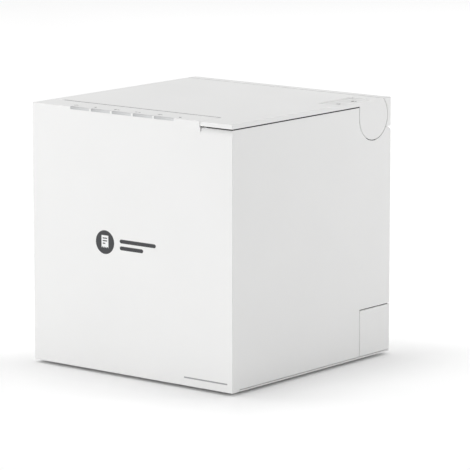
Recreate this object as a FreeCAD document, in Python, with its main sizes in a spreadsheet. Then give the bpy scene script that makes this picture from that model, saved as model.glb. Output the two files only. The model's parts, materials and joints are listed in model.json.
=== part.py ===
import FreeCAD, Part
import math
import operator
import os

import Sketcher
from FreeCAD import Placement, Rotation, Vector

# Cube-shaped 80 mm receipt printer, millimetres. +X is the printer's right, -Y its front, +Z up.
# The origin is under the middle of the printer, on the surface that its feet stand on.

doc = FreeCAD.newDocument("receipt_printer")
sheet = doc.addObject("Spreadsheet::Sheet", "Dims")
nodes = []


# ---------------------------------------------------------------- sizes that stay bound to the sheet

OPERATIONS = {"+": operator.add, "-": operator.sub, "*": operator.mul, "/": operator.truediv}


class Size:
    """A number together with the sheet expression that it is worked out by."""

    def __init__(self, value, text):
        self.value = value
        self.text = text

    def __float__(self):
        return float(self.value)

    def __add__(self, other):
        return combine(self, "+", other)

    def __radd__(self, other):
        return combine(other, "+", self)

    def __sub__(self, other):
        return combine(self, "-", other)

    def __rsub__(self, other):
        return combine(other, "-", self)

    def __mul__(self, other):
        return combine(self, "*", other)

    def __rmul__(self, other):
        return combine(other, "*", self)

    def __truediv__(self, other):
        return combine(self, "/", other)

    def __neg__(self):
        return combine(0, "-", self)


def size(number):
    if isinstance(number, Size):
        return number
    return Size(float(number), f"({float(number):.8g})")


def combine(left, sign, right):
    left, right = size(left), size(right)
    return Size(OPERATIONS[sign](left.value, right.value), f"({left.text} {sign} {right.text})")


def dim(name, value):
    """Adds one driving dimension to the sheet."""
    row = len(dim.names) + 1
    dim.names.append(name)
    sheet.set(f"A{row}", name)
    sheet.set(f"B{row}", str(value))
    sheet.setAlias(f"B{row}", name)
    return Size(float(value), f"Dims.{name}")


dim.names = []


def bind(piece, prop, number):
    piece.setExpression(prop, size(number).text)


# ---------------------------------------------------------------- driving dimensions

CASE_WIDTH = dim("case_width", 127)
CASE_DEPTH = dim("case_depth", 127)
TOP_HEIGHT = dim("top_height", 131.5)
FOOT_HEIGHT = dim("foot_height", 1.5)
FOOT_RADIUS = dim("foot_radius", 6)
WALL = dim("wall", 2.2)
RIM = dim("base_rim", 0.7)
SEAM = dim("seam", 0.3)
LID_PLATE = dim("lid_plate", 2.3)
LID_GAP = dim("lid_gap", 0.5)
SLOT_Y = dim("slot_place", -47.6)
SLOT_GAP = dim("slot_gap", 1.0)
SLOT_LEFT = dim("slot_left", -56.6)
TAB_LEFT = dim("tab_left", 43.8)
HINGE_Y = dim("hinge_back", 49.0)
HINGE_Z = dim("hinge_height", 123.0)
EAR_RADIUS = dim("ear_radius", 11.6)
EAR_GAP = dim("ear_gap", 0.3)
EAR_THICK = dim("ear_thick", 2.0)
PIN_RADIUS = dim("hinge_pin_radius", 2.0)
BAY_FRONT = dim("bay_front", 38.2)
BAY_TOP = dim("bay_top", 26.4)
PATH_X = dim("path_centre", -6.4)
PAPER_WIDTH = dim("paper_width", 80)
ROLL_RADIUS = dim("roll_radius", 40)
CORE_RADIUS = dim("core_radius", 8.5)
CORE_BORE = dim("core_bore", 6.25)
BUCKET_RADIUS = dim("bucket_radius", 43)
BUCKET_WALL = dim("bucket_wall", 1.8)
BUCKET_Y = dim("bucket_back", 7)
BUCKET_Z = dim("bucket_height", 64)
BUCKET_TOP = dim("bucket_top", 95)
PLATEN_Y = dim("platen_back", -41.2)
PLATEN_Z = dim("platen_height", 112)
PLATEN_RADIUS = dim("platen_radius", 5.8)
SHAFT_RADIUS = dim("platen_shaft_radius", 2.5)
BUSH_RADIUS = dim("bush_radius", 4)
HEAD_GAP = dim("head_gap", 0.45)
MODULE = dim("gear_module", 0.8)
SHEET = dim("sheet_steel", 1.2)
BLADE = dim("blade_thick", 0.8)
BLADE_Z = dim("blade_height", 121.4)
PCB = dim("board_thick", 1.6)
BOARD_Z = dim("board_height", 6)
BUTTON_TOP = dim("button_top", 130.8)

HALF_W = CASE_WIDTH / 2
HALF_D = CASE_DEPTH / 2
INNER_W = HALF_W - WALL
INNER_D = HALF_D - WALL
RIM_TOP = FOOT_HEIGHT + RIM
SIDE_BOTTOM = RIM_TOP + SEAM
LID_UNDER = TOP_HEIGHT - LID_PLATE
WALL_TOP = LID_UNDER - LID_GAP
STRIP_BACK = SLOT_Y - SLOT_GAP / 2
LID_FRONT = SLOT_Y + SLOT_GAP / 2
STRIP_RIGHT = TAB_LEFT - SEAM
COVER_TOP = BAY_TOP - LID_GAP
BASE_TOP = FOOT_HEIGHT + WALL
BOARD_TOP = BOARD_Z + PCB
EAR_CUT = EAR_RADIUS + EAR_GAP
HALF_PAPER = PAPER_WIDTH / 2


# ---------------------------------------------------------------- building blocks

NORMALS = {"X": Vector(1, 0, 0), "Y": Vector(0, 1, 0), "Z": Vector(0, 0, 1)}
FIT = 0.05  # clearance round a turning pin or a bush
DRIVE_RADIUS = 0.9  # the driver recess in a screw's head
DRIVE_DEPTH = 0.6


def keep(piece, label):
    """Registers a finished sub-part under its node name."""
    piece.Label = label
    nodes.append(piece)
    return piece


def place(piece, x, y, z):
    for axis, number in (("x", x), ("y", y), ("z", z)):
        bind(piece, f"Placement.Base.{axis}", number)


def box(name, low, high):
    piece = doc.addObject("Part::Box", name)
    for prop, start, end in zip(("Length", "Width", "Height"), low, high):
        bind(piece, prop, size(end) - start)
    place(piece, *low)
    return piece


def rod(name, axis, start, radius, length):
    """A cylinder from start, along +axis."""
    piece = doc.addObject("Part::Cylinder", name)
    piece.Placement = Placement(Vector(), Rotation(NORMALS["Z"], NORMALS[axis]))
    bind(piece, "Radius", radius)
    bind(piece, "Height", length)
    place(piece, *start)
    return piece


def fuse(name, *pieces):
    if len(pieces) == 1:
        return pieces[0]
    piece = doc.addObject("Part::MultiFuse", name)
    piece.Shapes = list(pieces)
    piece.Refine = True
    return piece


def cut(name, base, *tools):
    piece = doc.addObject("Part::Cut", name)
    piece.Base = base
    piece.Tool = fuse(name + "_tools", *tools)
    piece.Refine = True
    return piece


def group(name, pieces):
    piece = doc.addObject("Part::Compound", name)
    piece.Links = list(pieces)
    return piece


def new_body(label):
    return keep(doc.addObject("PartDesign::Body", label), label)


def outline(body, plane, level, points, circles):
    """A sketch on one of the body's own planes: a closed polygon, and circles as (x, y, radius)."""
    sketch = body.newObject("Sketcher::SketchObject", body.Name + "_sketch")
    roles = {feature.Role: feature for feature in body.Origin.OriginFeatures}
    sketch.AttachmentSupport = (roles[plane + "_Plane"], [""])
    sketch.MapMode = "FlatFace"
    bind(sketch, "AttachmentOffset.Base.z", level)
    count = len(points)
    for index, point in enumerate(points):
        end = points[(index + 1) % count]
        ends = [Vector(float(x), float(y), 0) for x, y in (point, end)]
        sketch.addGeometry(Part.LineSegment(*ends), False)
    for index in range(count):
        sketch.addConstraint(Sketcher.Constraint("Coincident", index, 2, (index + 1) % count, 1))
    for index, point in enumerate(points):
        pin(sketch, index, 1, point)
    for x, y, radius in circles:
        centre = Vector(float(x), float(y), 0)
        index = sketch.addGeometry(Part.Circle(centre, Vector(0, 0, 1), float(radius)), False)
        pin(sketch, index, 3, (x, y))
        number = sketch.addConstraint(Sketcher.Constraint("Radius", index, float(radius)))
        sketch.setExpression(f"Constraints[{number}]", size(radius).text)
    return sketch


def pin(sketch, geometry, vertex, point):
    """Ties one sketch point to its two coordinates."""
    for kind, line, number in (("DistanceX", -2, point[0]), ("DistanceY", -1, point[1])):
        value = float(number)
        if abs(value) < 1e-9:
            sketch.addConstraint(Sketcher.Constraint("PointOnObject", geometry, vertex, line))
            continue
        place_in_list = sketch.addConstraint(Sketcher.Constraint(kind, -1, 1, geometry, vertex, value))
        sketch.setExpression(f"Constraints[{place_in_list}]", size(number).text)


def extrude(kind, body, plane, low, high, points=(), circles=()):
    """Pads or pockets a sketch between two levels along the plane's normal (Y for XZ)."""
    low, high = size(low), size(high)
    level = -high if plane == "XZ" else low
    sketch = outline(body, plane, level, points, circles)
    feature = body.newObject(kind, body.Name + "_feature")
    feature.Profile = sketch
    bind(feature, "Length", high - low)
    feature.Reversed = kind == "PartDesign::Pocket"
    body.Tip = feature
    return feature


def pad(body, plane, low, high, points=(), circles=()):
    feature = extrude("PartDesign::Pad", body, plane, low, high, points, circles)
    doc.recompute()
    return feature


def pocket(body, plane, low, high, points=(), circles=()):
    doc.recompute()
    before = body.Shape.Volume
    feature = extrude("PartDesign::Pocket", body, plane, low, high, points, circles)
    doc.recompute()
    if body.Shape.Volume > before - 1e-3:
        raise RuntimeError(f"a pocket in {body.Label} cuts nothing")
    return feature


def rectangle(x_low, y_low, x_high, y_high):
    return [(x_low, y_low), (x_high, y_low), (x_high, y_high), (x_low, y_high)]


def round_edges(body, radius, chosen):
    """Rounds the body's edges whose middle point passes the test."""
    doc.recompute()
    base = body.Tip
    names = []
    for number, edge in enumerate(base.Shape.Edges, 1):
        middle = edge.valueAt((edge.FirstParameter + edge.LastParameter) / 2)
        if chosen(middle, edge):
            names.append(f"Edge{number}")
    if not names:
        raise RuntimeError(f"no edge of {body.Label} to round")
    feature = body.newObject("PartDesign::Fillet", body.Name + "_round")
    feature.Base = (base, names)
    bind(feature, "Radius", radius)
    body.Tip = feature
    doc.recompute()


def near(number, target, within=0.05):
    return abs(number - float(target)) < within


def span(side, near_x, far_x, centre=0):
    """The low and high X of a piece between two distances from a centre, on one side of it."""
    return sorted((centre + side * near_x, centre + side * far_x), key=float)


def polar(centre, distance, degrees):
    angle = math.radians(degrees)
    return (centre[0] + distance * math.cos(angle), centre[1] + distance * math.sin(angle))


def line_angle(start, end):
    return math.degrees(math.atan2(float(end[1]) - float(start[1]), float(end[0]) - float(start[0])))


# ---------------------------------------------------------------- casing

CASE_LEG = dim("case_leg", 5.5)  # how far the front moulding reaches down round the corners
BOSS_X = dim("boss_place", 56.5)
BOSS_Y = dim("boss_back", 54)
BOSS_HALF = dim("boss_half", 4)
BOSS_TOP = dim("boss_top", 18)
FOOT_X = dim("foot_place", 52)
FOOT_Y = dim("foot_back", 44)
VENT_PITCH = dim("vent_pitch", 6)
VENT_HALF = dim("vent_half_width", 1.25)
VENT_FRONT = dim("vent_front", -34)
VENT_BACK = dim("vent_back", -10)
VENTS_EACH_SIDE = 4
SCREW_RADIUS = dim("screw_radius", 1.25)
LIGHT_FIRST = dim("light_first", -38.4)
LIGHT_PITCH = dim("light_pitch", 13.4)
LIGHT_WIDTH = dim("light_width", 12.1)
LIGHT_HEIGHT = dim("light_height", 1.3)
LIGHT_DEPTH = dim("light_depth", 1.2)
LIGHT_COUNT = 5
STEM_HALF = dim("light_stem_half", 2.5)
STEM_DEPTH = dim("light_stem_depth", 3.8)
SCOOP_HEIGHT = dim("scoop_height", 3.3)
SCOOP_DEPTH = dim("scoop_depth", 1.2)
SHOULDER_Z = dim("shoulder_height", 116.6)
SHOULDER_RADIUS = dim("shoulder_radius", 2.5)
STAY_Y = dim("stay_back", -58.5)
STAY_SCREW_Z = dim("stay_screw_height", 108)
STAY_SCREW_X = dim("stay_screw_spread", 34)
STAY_SCREWS = [(side, level) for side in (-1, 1) for level in (-6, 6)]
BASE_SCREWS = [(side, row) for row in (-1, 0.5) for side in (-1, 1)]  # as shares of BOSS_X and BOSS_Y


def light_left(index):
    return LIGHT_FIRST + LIGHT_PITCH * index


def horseshoe(half, front, back, thick):
    """Walls on three sides, open at the back."""
    inner = half - thick
    return [
        (-half, front), (half, front), (half, back), (inner, back),
        (inner, front + thick), (-inner, front + thick), (-inner, back), (-half, back),
    ]


def make_outer_case():
    body = new_body("outer_case")
    pad(body, "XY", SIDE_BOTTOM, WALL_TOP, horseshoe(HALF_W, -HALF_D, HALF_D, WALL))
    leg = horseshoe(HALF_W, -HALF_D, CASE_LEG - HALF_D, WALL)
    pad(body, "XY", FOOT_HEIGHT, SIDE_BOTTOM, leg)
    pad(body, "YZ", -HALF_W, STRIP_RIGHT, rectangle(-HALF_D, WALL_TOP, STRIP_BACK, TOP_HEIGHT))
    corner = rectangle(-HALF_W, STRIP_BACK, SLOT_LEFT, LID_FRONT - SEAM)
    pad(body, "XY", WALL_TOP, TOP_HEIGHT, corner)
    for side, row in BASE_SCREWS:
        centre = BOSS_Y * row
        low, high = span(side, BOSS_X - BOSS_HALF, INNER_W + 1)
        pad(body, "XY", BASE_TOP, BOSS_TOP, rectangle(low, centre - BOSS_HALF, high, centre + BOSS_HALF))
    holes = [(side * BOSS_X, BOSS_Y * row, SCREW_RADIUS + FIT) for side, row in BASE_SCREWS]
    pocket(body, "XY", BASE_TOP - 0.1, BOSS_TOP - 3, circles=holes)
    for side, level in STAY_SCREWS:
        spot = (PATH_X + STAY_SCREW_X * side, STAY_SCREW_Z + level)
        pad(body, "XZ", -INNER_D - 0.5, STAY_Y, circles=[(*spot, 3)])
        pocket(body, "XZ", -INNER_D - 1.0, STAY_Y, circles=[(*spot, 1.0)])
    cut_rear_openings(body)
    scoop = [(-HALF_D, WALL_TOP - SCOOP_HEIGHT), (SCOOP_DEPTH - HALF_D, WALL_TOP), (-HALF_D, WALL_TOP)]
    pocket(body, "YZ", TAB_LEFT, HALF_W - 0.5, scoop)
    for index in range(LIGHT_COUNT):
        left = light_left(index)
        window = rectangle(left, -HALF_D, left + LIGHT_WIDTH, LIGHT_DEPTH - HALF_D)
        pocket(body, "XY", TOP_HEIGHT - LIGHT_HEIGHT, TOP_HEIGHT, window)
        middle = left + LIGHT_WIDTH / 2
        stem = rectangle(middle - STEM_HALF, LIGHT_DEPTH - HALF_D, middle + STEM_HALF, STEM_DEPTH - HALF_D)
        pocket(body, "XY", WALL_TOP - 1, TOP_HEIGHT - 0.5, stem)


def cut_rear_openings(body):
    """Room in both side walls for the lid's ears, the hinge bar and the cable cover."""
    for low, high in ((-HALF_W, -INNER_W), (INNER_W, HALF_W)):
        pocket(body, "YZ", low, high, circles=[(HINGE_Y, HINGE_Z, EAR_CUT)])
        pocket(body, "YZ", low, high, rectangle(HINGE_Y - EAR_CUT, HINGE_Z, HALF_D, WALL_TOP))
        pocket(body, "YZ", low, high, rectangle(HINGE_Y + 8, SHOULDER_Z, HALF_D, HINGE_Z))
        pocket(body, "YZ", low, high, rectangle(BAY_FRONT, SIDE_BOTTOM, HALF_D, BAY_TOP))
    round_edges(
        body,
        SHOULDER_RADIUS,
        lambda middle, edge: near(middle.y, HALF_D) and near(middle.z, SHOULDER_Z),
    )


def make_rear_case():
    body = new_body("rear_case")
    half = INNER_W - 0.2
    pad(body, "XY", BAY_TOP, SHOULDER_Z, rectangle(-half, INNER_D, half, HALF_D))
    pad(body, "XY", BAY_TOP, BAY_TOP + 2, rectangle(-half, BAY_FRONT - 0.7, half, INNER_D))
    round_edges(
        body,
        SHOULDER_RADIUS - 0.4,
        lambda middle, edge: near(middle.y, HALF_D) and near(middle.z, SHOULDER_Z),
    )


BAR_BOTTOM = dim("bar_bottom", 116.9)
BAR_WEB_BOTTOM = dim("bar_web_bottom", 106)
BAR_FRONT = dim("bar_front", 8.5)  # behind the hinge's axis


def make_hinge_bar():
    """The fixed bar behind the lid, hollowed round the hinge, with a web inside the rear panel."""
    body = new_body("hinge_bar")
    pad(body, "YZ", -HALF_W, HALF_W, rectangle(HINGE_Y + BAR_FRONT, BAR_BOTTOM, HALF_D, TOP_HEIGHT))
    web = rectangle(INNER_D - 1.6, BAR_WEB_BOTTOM, INNER_D - 0.2, BAR_BOTTOM + 1)
    pad(body, "YZ", -INNER_W + 1, INNER_W - 1, web)
    pocket(body, "YZ", -HALF_W, HALF_W, circles=[(HINGE_Y, HINGE_Z, EAR_CUT)])


HINGE_HEAD = dim("hinge_head_radius", 3.8)
BRACKET_X = dim("hinge_bracket_place", 55.5)
BRACKET_THICK = dim("hinge_bracket_thick", 2.0)
BRACKET_HALF = dim("hinge_bracket_half", 3.4)
BRACKET_BOTTOM = dim("hinge_bracket_bottom", 92)


def make_hinge_brackets():
    """Two steel arms on the rear panel that carry the hinge pins."""
    arms = []
    for side in (-1, 1):
        x_low, x_high = span(side, BRACKET_X, BRACKET_X + BRACKET_THICK)
        name = f"hinge_bracket_{len(arms)}"
        head = rod(name + "_head", "X", (x_low, HINGE_Y, HINGE_Z), HINGE_HEAD, BRACKET_THICK)
        arm_low = (x_low, HINGE_Y - BRACKET_HALF, BRACKET_BOTTOM + 6)
        arm = box(name + "_arm", arm_low, (x_high, HINGE_Y + BRACKET_HALF, HINGE_Z))
        foot_low = (x_low, HINGE_Y, BRACKET_BOTTOM)
        foot = box(name + "_foot", foot_low, (x_high, INNER_D - 0.1, BRACKET_BOTTOM + 13))
        hole = rod(name + "_hole", "X", (x_low - 1, HINGE_Y, HINGE_Z), PIN_RADIUS + FIT, BRACKET_THICK + 2)
        arms.append(cut(name, fuse(name + "_solid", head, arm, foot), hole))
    keep(group("hinge_brackets_group", arms), "hinge_brackets")


def make_base():
    body = new_body("base_plate")
    back_edge = CASE_LEG - HALF_D + SEAM
    pad(body, "XY", FOOT_HEIGHT, RIM_TOP, rectangle(-HALF_W, back_edge, HALF_W, HALF_D))
    half = INNER_W - 0.3
    pad(body, "XY", RIM_TOP, BASE_TOP, rectangle(-half, -INNER_D + 0.3, half, HALF_D - 3))
    feet = [(side * FOOT_X, row * FOOT_Y, FOOT_RADIUS) for side in (-1, 1) for row in (-1, 1)]
    pocket(body, "XY", FOOT_HEIGHT, FOOT_HEIGHT + 0.5, circles=feet)
    spots = [(side * BOSS_X, BOSS_Y * row) for side, row in BASE_SCREWS]
    pocket(body, "XY", FOOT_HEIGHT, BASE_TOP, circles=[(*spot, SCREW_RADIUS + 0.35) for spot in spots])
    pocket(body, "XY", FOOT_HEIGHT, FOOT_HEIGHT + 1.2, circles=[(*spot, 2.8) for spot in spots])
    for number in range(-VENTS_EACH_SIDE, VENTS_EACH_SIDE + 1):
        middle = PATH_X + VENT_PITCH * number
        slot = rectangle(middle - VENT_HALF, VENT_FRONT, middle + VENT_HALF, VENT_BACK)
        pocket(body, "XY", FOOT_HEIGHT, BASE_TOP, slot)
    discs = [rod(f"foot_{n}", "Z", (x, y, 0), radius - 0.1, FOOT_HEIGHT + 0.5)
             for n, (x, y, radius) in enumerate(feet)]
    keep(group("feet_group", discs), "rubber_feet")
    screws = [screw(f"base_screw_{n}", "Z", (*spot, FOOT_HEIGHT + 0.1), 2.6, 1.1, SCREW_RADIUS, 10, 1)
              for n, spot in enumerate(spots)]
    keep(group("base_screws_group", screws), "base_screws")


def screw(name, axis, start, head_radius, head_length, radius, length, way):
    """A pan-head screw whose head starts at start and whose shank runs along way times axis."""
    index = "XYZ".index(axis)
    head_start = list(start)
    shank_start = list(start)
    if way > 0:
        shank_start[index] = size(start[index]) + head_length
    else:
        head_start[index] = size(start[index]) - head_length
        shank_start[index] = size(start[index]) - head_length - length
    head = rod(name + "_head", axis, head_start, head_radius, head_length)
    shank = rod(name + "_shank", axis, shank_start, radius, length)
    drive_start = list(start)
    if way < 0:
        drive_start[index] = size(start[index]) - DRIVE_DEPTH
    drive = rod(name + "_drive", axis, drive_start, DRIVE_RADIUS, DRIVE_DEPTH)
    return cut(name, fuse(name + "_blank", head, shank), drive)


COVER_WALL = dim("cover_wall", 2)
OUTLET_HALF = dim("cable_outlet_half", 14)
OUTLET_HEIGHT = dim("cable_outlet_height", 9)


def make_cable_cover():
    """The three-sided cover of the cable bay, with the cables' way out in its rear wall."""
    body = new_body("cable_cover")
    front = BAY_FRONT + SEAM
    inner, rear = HALF_W - COVER_WALL, HALF_D - COVER_WALL
    walls = [
        (-HALF_W, front), (-inner, front), (-inner, rear), (inner, rear),
        (inner, front), (HALF_W, front), (HALF_W, HALF_D), (-HALF_W, HALF_D),
    ]
    pad(body, "XY", SIDE_BOTTOM, COVER_TOP, walls)
    outlet = rectangle(-OUTLET_HALF, SIDE_BOTTOM, OUTLET_HALF, SIDE_BOTTOM + OUTLET_HEIGHT)
    pocket(body, "XZ", rear - 1, HALF_D, outlet)


# ---------------------------------------------------------------- lid

RECESS = dict(left=49.3, right=61.8, front=21.5, back=50.0)
BUTTONS = {"power_button": (23.0, 34.6), "feed_button": (36.8, 48.4)}
BUTTON_SIDE = (50.6, 60.5)
CAP_GAP = dim("button_gap", 0.25)
LIP = dim("button_lip", 0.5)  # how far a key's lip reaches past its sides, under the lid
KEY_DROP = dim("key_drop", 0.8)
KEY_BOARD_Z = dim("key_board_height", 125.6)
KEY_BOARD_THICK = dim("key_board_thick", 1)
PLATE_BACK = dim("lid_plate_back", 7.85)  # behind the hinge's axis, inside the ears' circle
LINER_THICK = dim("liner_thick", 1.8)
LINER_FRONT = dim("liner_front", -32.2)
LINER_BACK = dim("liner_back", 37)
LINER_BOTTOM = dim("liner_bottom", 106)


def make_lid_shell():
    body = new_body("lid_shell")
    back = HINGE_Y + PLATE_BACK
    plate = [
        (-HALF_W, LID_FRONT), (TAB_LEFT, LID_FRONT), (TAB_LEFT, -HALF_D),
        (HALF_W, -HALF_D), (HALF_W, back), (-HALF_W, back),
    ]
    pad(body, "XY", LID_UNDER, TOP_HEIGHT, plate)
    for low, high in ((-HALF_W, EAR_THICK - HALF_W), (HALF_W - EAR_THICK, HALF_W)):
        pad(body, "YZ", low, high, circles=[(HINGE_Y, HINGE_Z, EAR_RADIUS)])
        pad(body, "YZ", low, high, rectangle(HINGE_Y - EAR_RADIUS, HINGE_Z, HINGE_Y, LID_UNDER + 1))
    pocket(body, "XY", TOP_HEIGHT, HINGE_Z + EAR_RADIUS + 1, rectangle(-HALF_W, HINGE_Y - 13, HALF_W, HALF_D))
    boss_in = BRACKET_X + BRACKET_THICK + 0.5
    for low, high in ((-HALF_W + 1, -boss_in), (boss_in, HALF_W - 1)):
        pad(body, "YZ", low, high, circles=[(HINGE_Y, HINGE_Z, PIN_RADIUS + 2)])
        pocket(body, "YZ", low, high, circles=[(HINGE_Y, HINGE_Z, PIN_RADIUS)])
    pad(body, "YZ", -BRACKET_X + 2, BRACKET_X - 2, barrel_wall())
    recess = rectangle(RECESS["left"], RECESS["front"], RECESS["right"], RECESS["back"])
    pocket(body, "XY", BUTTON_TOP, TOP_HEIGHT, recess)
    for front, rear in BUTTONS.values():
        hole = rectangle(BUTTON_SIDE[0] - CAP_GAP, front - CAP_GAP, BUTTON_SIDE[1] + CAP_GAP, rear + CAP_GAP)
        pocket(body, "XY", LID_UNDER, BUTTON_TOP, hole)
    chin = rectangle(TAB_LEFT + 2, -HALF_D + 3.5, HALF_W - 3.5, -HALF_D + 5)
    pad(body, "XY", LID_UNDER - 3, LID_UNDER, chin)


def barrel_wall():
    """Section of the curved wall behind the hinge, as a fan of short flats between two radii."""
    axis = (HINGE_Y, HINGE_Z)
    angles = range(-20, 41, 10)
    rim = [polar(axis, EAR_RADIUS - 0.2, angle) for angle in angles]
    bore = [polar(axis, EAR_RADIUS - 2, angle) for angle in reversed(angles)]
    return rim + bore


def make_lid_liner():
    """The inner moulding: a pan under the plate with two cheeks that carry the platen bracket."""
    half = HALF_PAPER + 0.6
    top = LID_UNDER - 0.2
    front = LINER_FRONT + 0.2
    low_x, high_x = PATH_X - half, PATH_X + half
    pan = box("liner_pan", (low_x - 2, front - 12.5, top - LINER_THICK), (high_x + 2, LINER_BACK, top))
    cheeks = []
    for side in (-1, 1):
        x_low, x_high = span(side, half - LINER_THICK, half, PATH_X)
        name = f"liner_cheek_{len(cheeks)}"
        cheeks.append(box(name, (x_low, front, LINER_BOTTOM), (x_high, LINER_BACK, top)))
    back = box("liner_back", (low_x, LINER_BACK - LINER_THICK, LINER_BOTTOM), (high_x, LINER_BACK, top))
    guide = box("liner_guide", (low_x, front, LINER_BOTTOM - 2), (high_x, front + LINER_THICK, top))
    lip_start = (low_x, front + LINER_THICK / 2, LINER_BOTTOM - 2)
    lip = rod("liner_lip", "X", lip_start, LINER_THICK / 2, half * 2)
    return keep(fuse("liner", pan, *cheeks, back, guide, lip), "lid_liner")


def make_hinge_pins():
    pins = []
    for side in (-1, 1):
        x_low, x_high = span(side, BRACKET_X - 0.6, HALF_W - 1.1)
        pins.append(rod(f"hinge_pin_{len(pins)}", "X", (x_low, HINGE_Y, HINGE_Z), PIN_RADIUS, x_high - x_low))
    keep(group("hinge_pins_group", pins), "hinge_pins")


def make_buttons():
    """Two keys with a lip that holds them under the plate, over a board that hangs from two posts."""
    stem_bottom = LID_UNDER - KEY_DROP
    left, right = BUTTON_SIDE
    board_top = KEY_BOARD_Z + KEY_BOARD_THICK
    domes = []
    for name, (front, rear) in BUTTONS.items():
        body = new_body(name)
        pad(body, "XY", stem_bottom, BUTTON_TOP, rectangle(left, front, right, rear))
        lip = rectangle(left - LIP, front - LIP, right + LIP, rear + LIP)
        pad(body, "XY", stem_bottom - 0.2, LID_UNDER - 0.3, lip)
        middle = ((left + right) / 2, (front + rear) / 2 - (1.4 if name == "feed_button" else 0), board_top)
        domes.append(rod(name + "_dome", "Z", middle, 1.5, 0.6))
    sheet_low, sheet_high = (left - 2.4, 22.0, KEY_BOARD_Z), (right, 44.0, board_top)
    board = box("button_board_sheet", sheet_low, sheet_high)
    posts = [rod(f"button_post_{n}", "Z", (left - 1.7, y, board_top), 0.6, LID_UNDER - board_top)
             for n, y in enumerate((24, 35.7))]
    keep(fuse("button_board_all", board, *domes, *posts), "button_board")


# ---------------------------------------------------------------- paper

def make_bucket():
    half = HALF_PAPER + 0.5
    outer = BUCKET_RADIUS + BUCKET_WALL
    x_low, x_high = PATH_X - half - BUCKET_WALL, PATH_X + half + BUCKET_WALL
    drum = rod("bucket_drum", "X", (x_low, BUCKET_Y, BUCKET_Z), outer, x_high - x_low)
    throat = box("bucket_throat", (x_low, BUCKET_Y - outer, BUCKET_Z), (x_high, BUCKET_Y + outer, BUCKET_TOP))
    hollow = rod("bucket_hollow", "X", (PATH_X - half, BUCKET_Y, BUCKET_Z), BUCKET_RADIUS, half * 2)
    mouth_low = (PATH_X - half, BUCKET_Y - BUCKET_RADIUS, BUCKET_Z)
    mouth = box("bucket_mouth", mouth_low, (PATH_X + half, BUCKET_Y + BUCKET_RADIUS, BUCKET_TOP + 20))
    above = box("bucket_above", (x_low - 1, -60, BUCKET_TOP), (x_high + 1, 70, BUCKET_TOP + 25))
    legs = []
    for side in (-1, 1):
        low_x, high_x = span(side, half + BUCKET_WALL - 0.5, half + BUCKET_WALL + 1.8, PATH_X)
        legs.append(box(f"bucket_leg_{len(legs)}", (low_x, -24, BASE_TOP), (high_x, 34, 48)))
    shell = cut("bucket_shell", fuse("bucket_solid", drum, throat), hollow, mouth, above)
    keep(fuse("bucket", shell, *legs), "paper_bucket")


def make_roll():
    roll_z = BUCKET_Z - (BUCKET_RADIUS - ROLL_RADIUS - 0.3)
    start = (PATH_X - HALF_PAPER, BUCKET_Y, roll_z)
    paper = rod("roll_disc", "X", start, ROLL_RADIUS, PAPER_WIDTH)
    bore = rod("roll_bore", "X", (start[0] - 1, *start[1:]), CORE_RADIUS, PAPER_WIDTH + 2)
    keep(cut("roll", paper, bore), "paper_roll")
    tube = rod("core_disc", "X", start, CORE_RADIUS, PAPER_WIDTH)
    hole = rod("core_hole", "X", (start[0] - 1, *start[1:]), CORE_BORE, PAPER_WIDTH + 2)
    keep(cut("core", tube, hole), "paper_core")


# ---------------------------------------------------------------- print mechanism

FRAME_IN = dim("frame_inside", 44)  # from the paper path's centre to the inside of a frame plate
FRAME_FRONT = dim("frame_front", -60)
FRAME_REAR = dim("frame_rear", -29)
FRAME_BOTTOM = dim("frame_bottom", 76)
FRAME_TOP = dim("frame_top", 119.4)
HEAD_PIVOT_Y = dim("head_pivot_back", -51.2)
HEAD_PIVOT_Z = dim("head_pivot_height", 96.5)
HEAD_PIN = dim("head_pin_radius", 1.5)
LATCH_Y = dim("latch_back", -33)
LATCH_Z = dim("latch_height", 98)
LATCH_PIN = dim("latch_pin_radius", 1.5)
SLOT_LEAN = dim("bush_slot_lean", 1.1)
TEETH = dict(motor=12, large=24, small=12, platen=22, cutter=12)
PLATE_IN = dim("lid_plate_inside", 40.9)  # from the paper path's centre to an end plate of the lid's channel
PLATE_THICK = dim("lid_plate_thick", 1.0)
FIXED_BLADE_Z = BLADE_Z - 1.2
GEAR_PLANE = dim("gear_plane", 45)
GEAR_WIDTH = dim("gear_width", 4)
LARGE_PLANE = dim("large_gear_plane", 40.4)
LARGE_WIDTH = dim("large_gear_width", 3)
MOTOR_RADIUS = dim("motor_radius", 8.4)
MOTOR_DIRECTION = -121


def mesh_distance(first, second):
    return MODULE * (TEETH[first] + TEETH[second]) / 2


PLATEN_AXIS = (PLATEN_Y, PLATEN_Z)
# the way that the platen leaves as the lid opens
MESH_DIRECTION = line_angle((HINGE_Y, HINGE_Z), PLATEN_AXIS) - 90
IDLER_AXIS = polar(PLATEN_AXIS, -mesh_distance("small", "platen"), MESH_DIRECTION)
MOTOR_AXIS = polar(IDLER_AXIS, mesh_distance("motor", "large"), MOTOR_DIRECTION)


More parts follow.
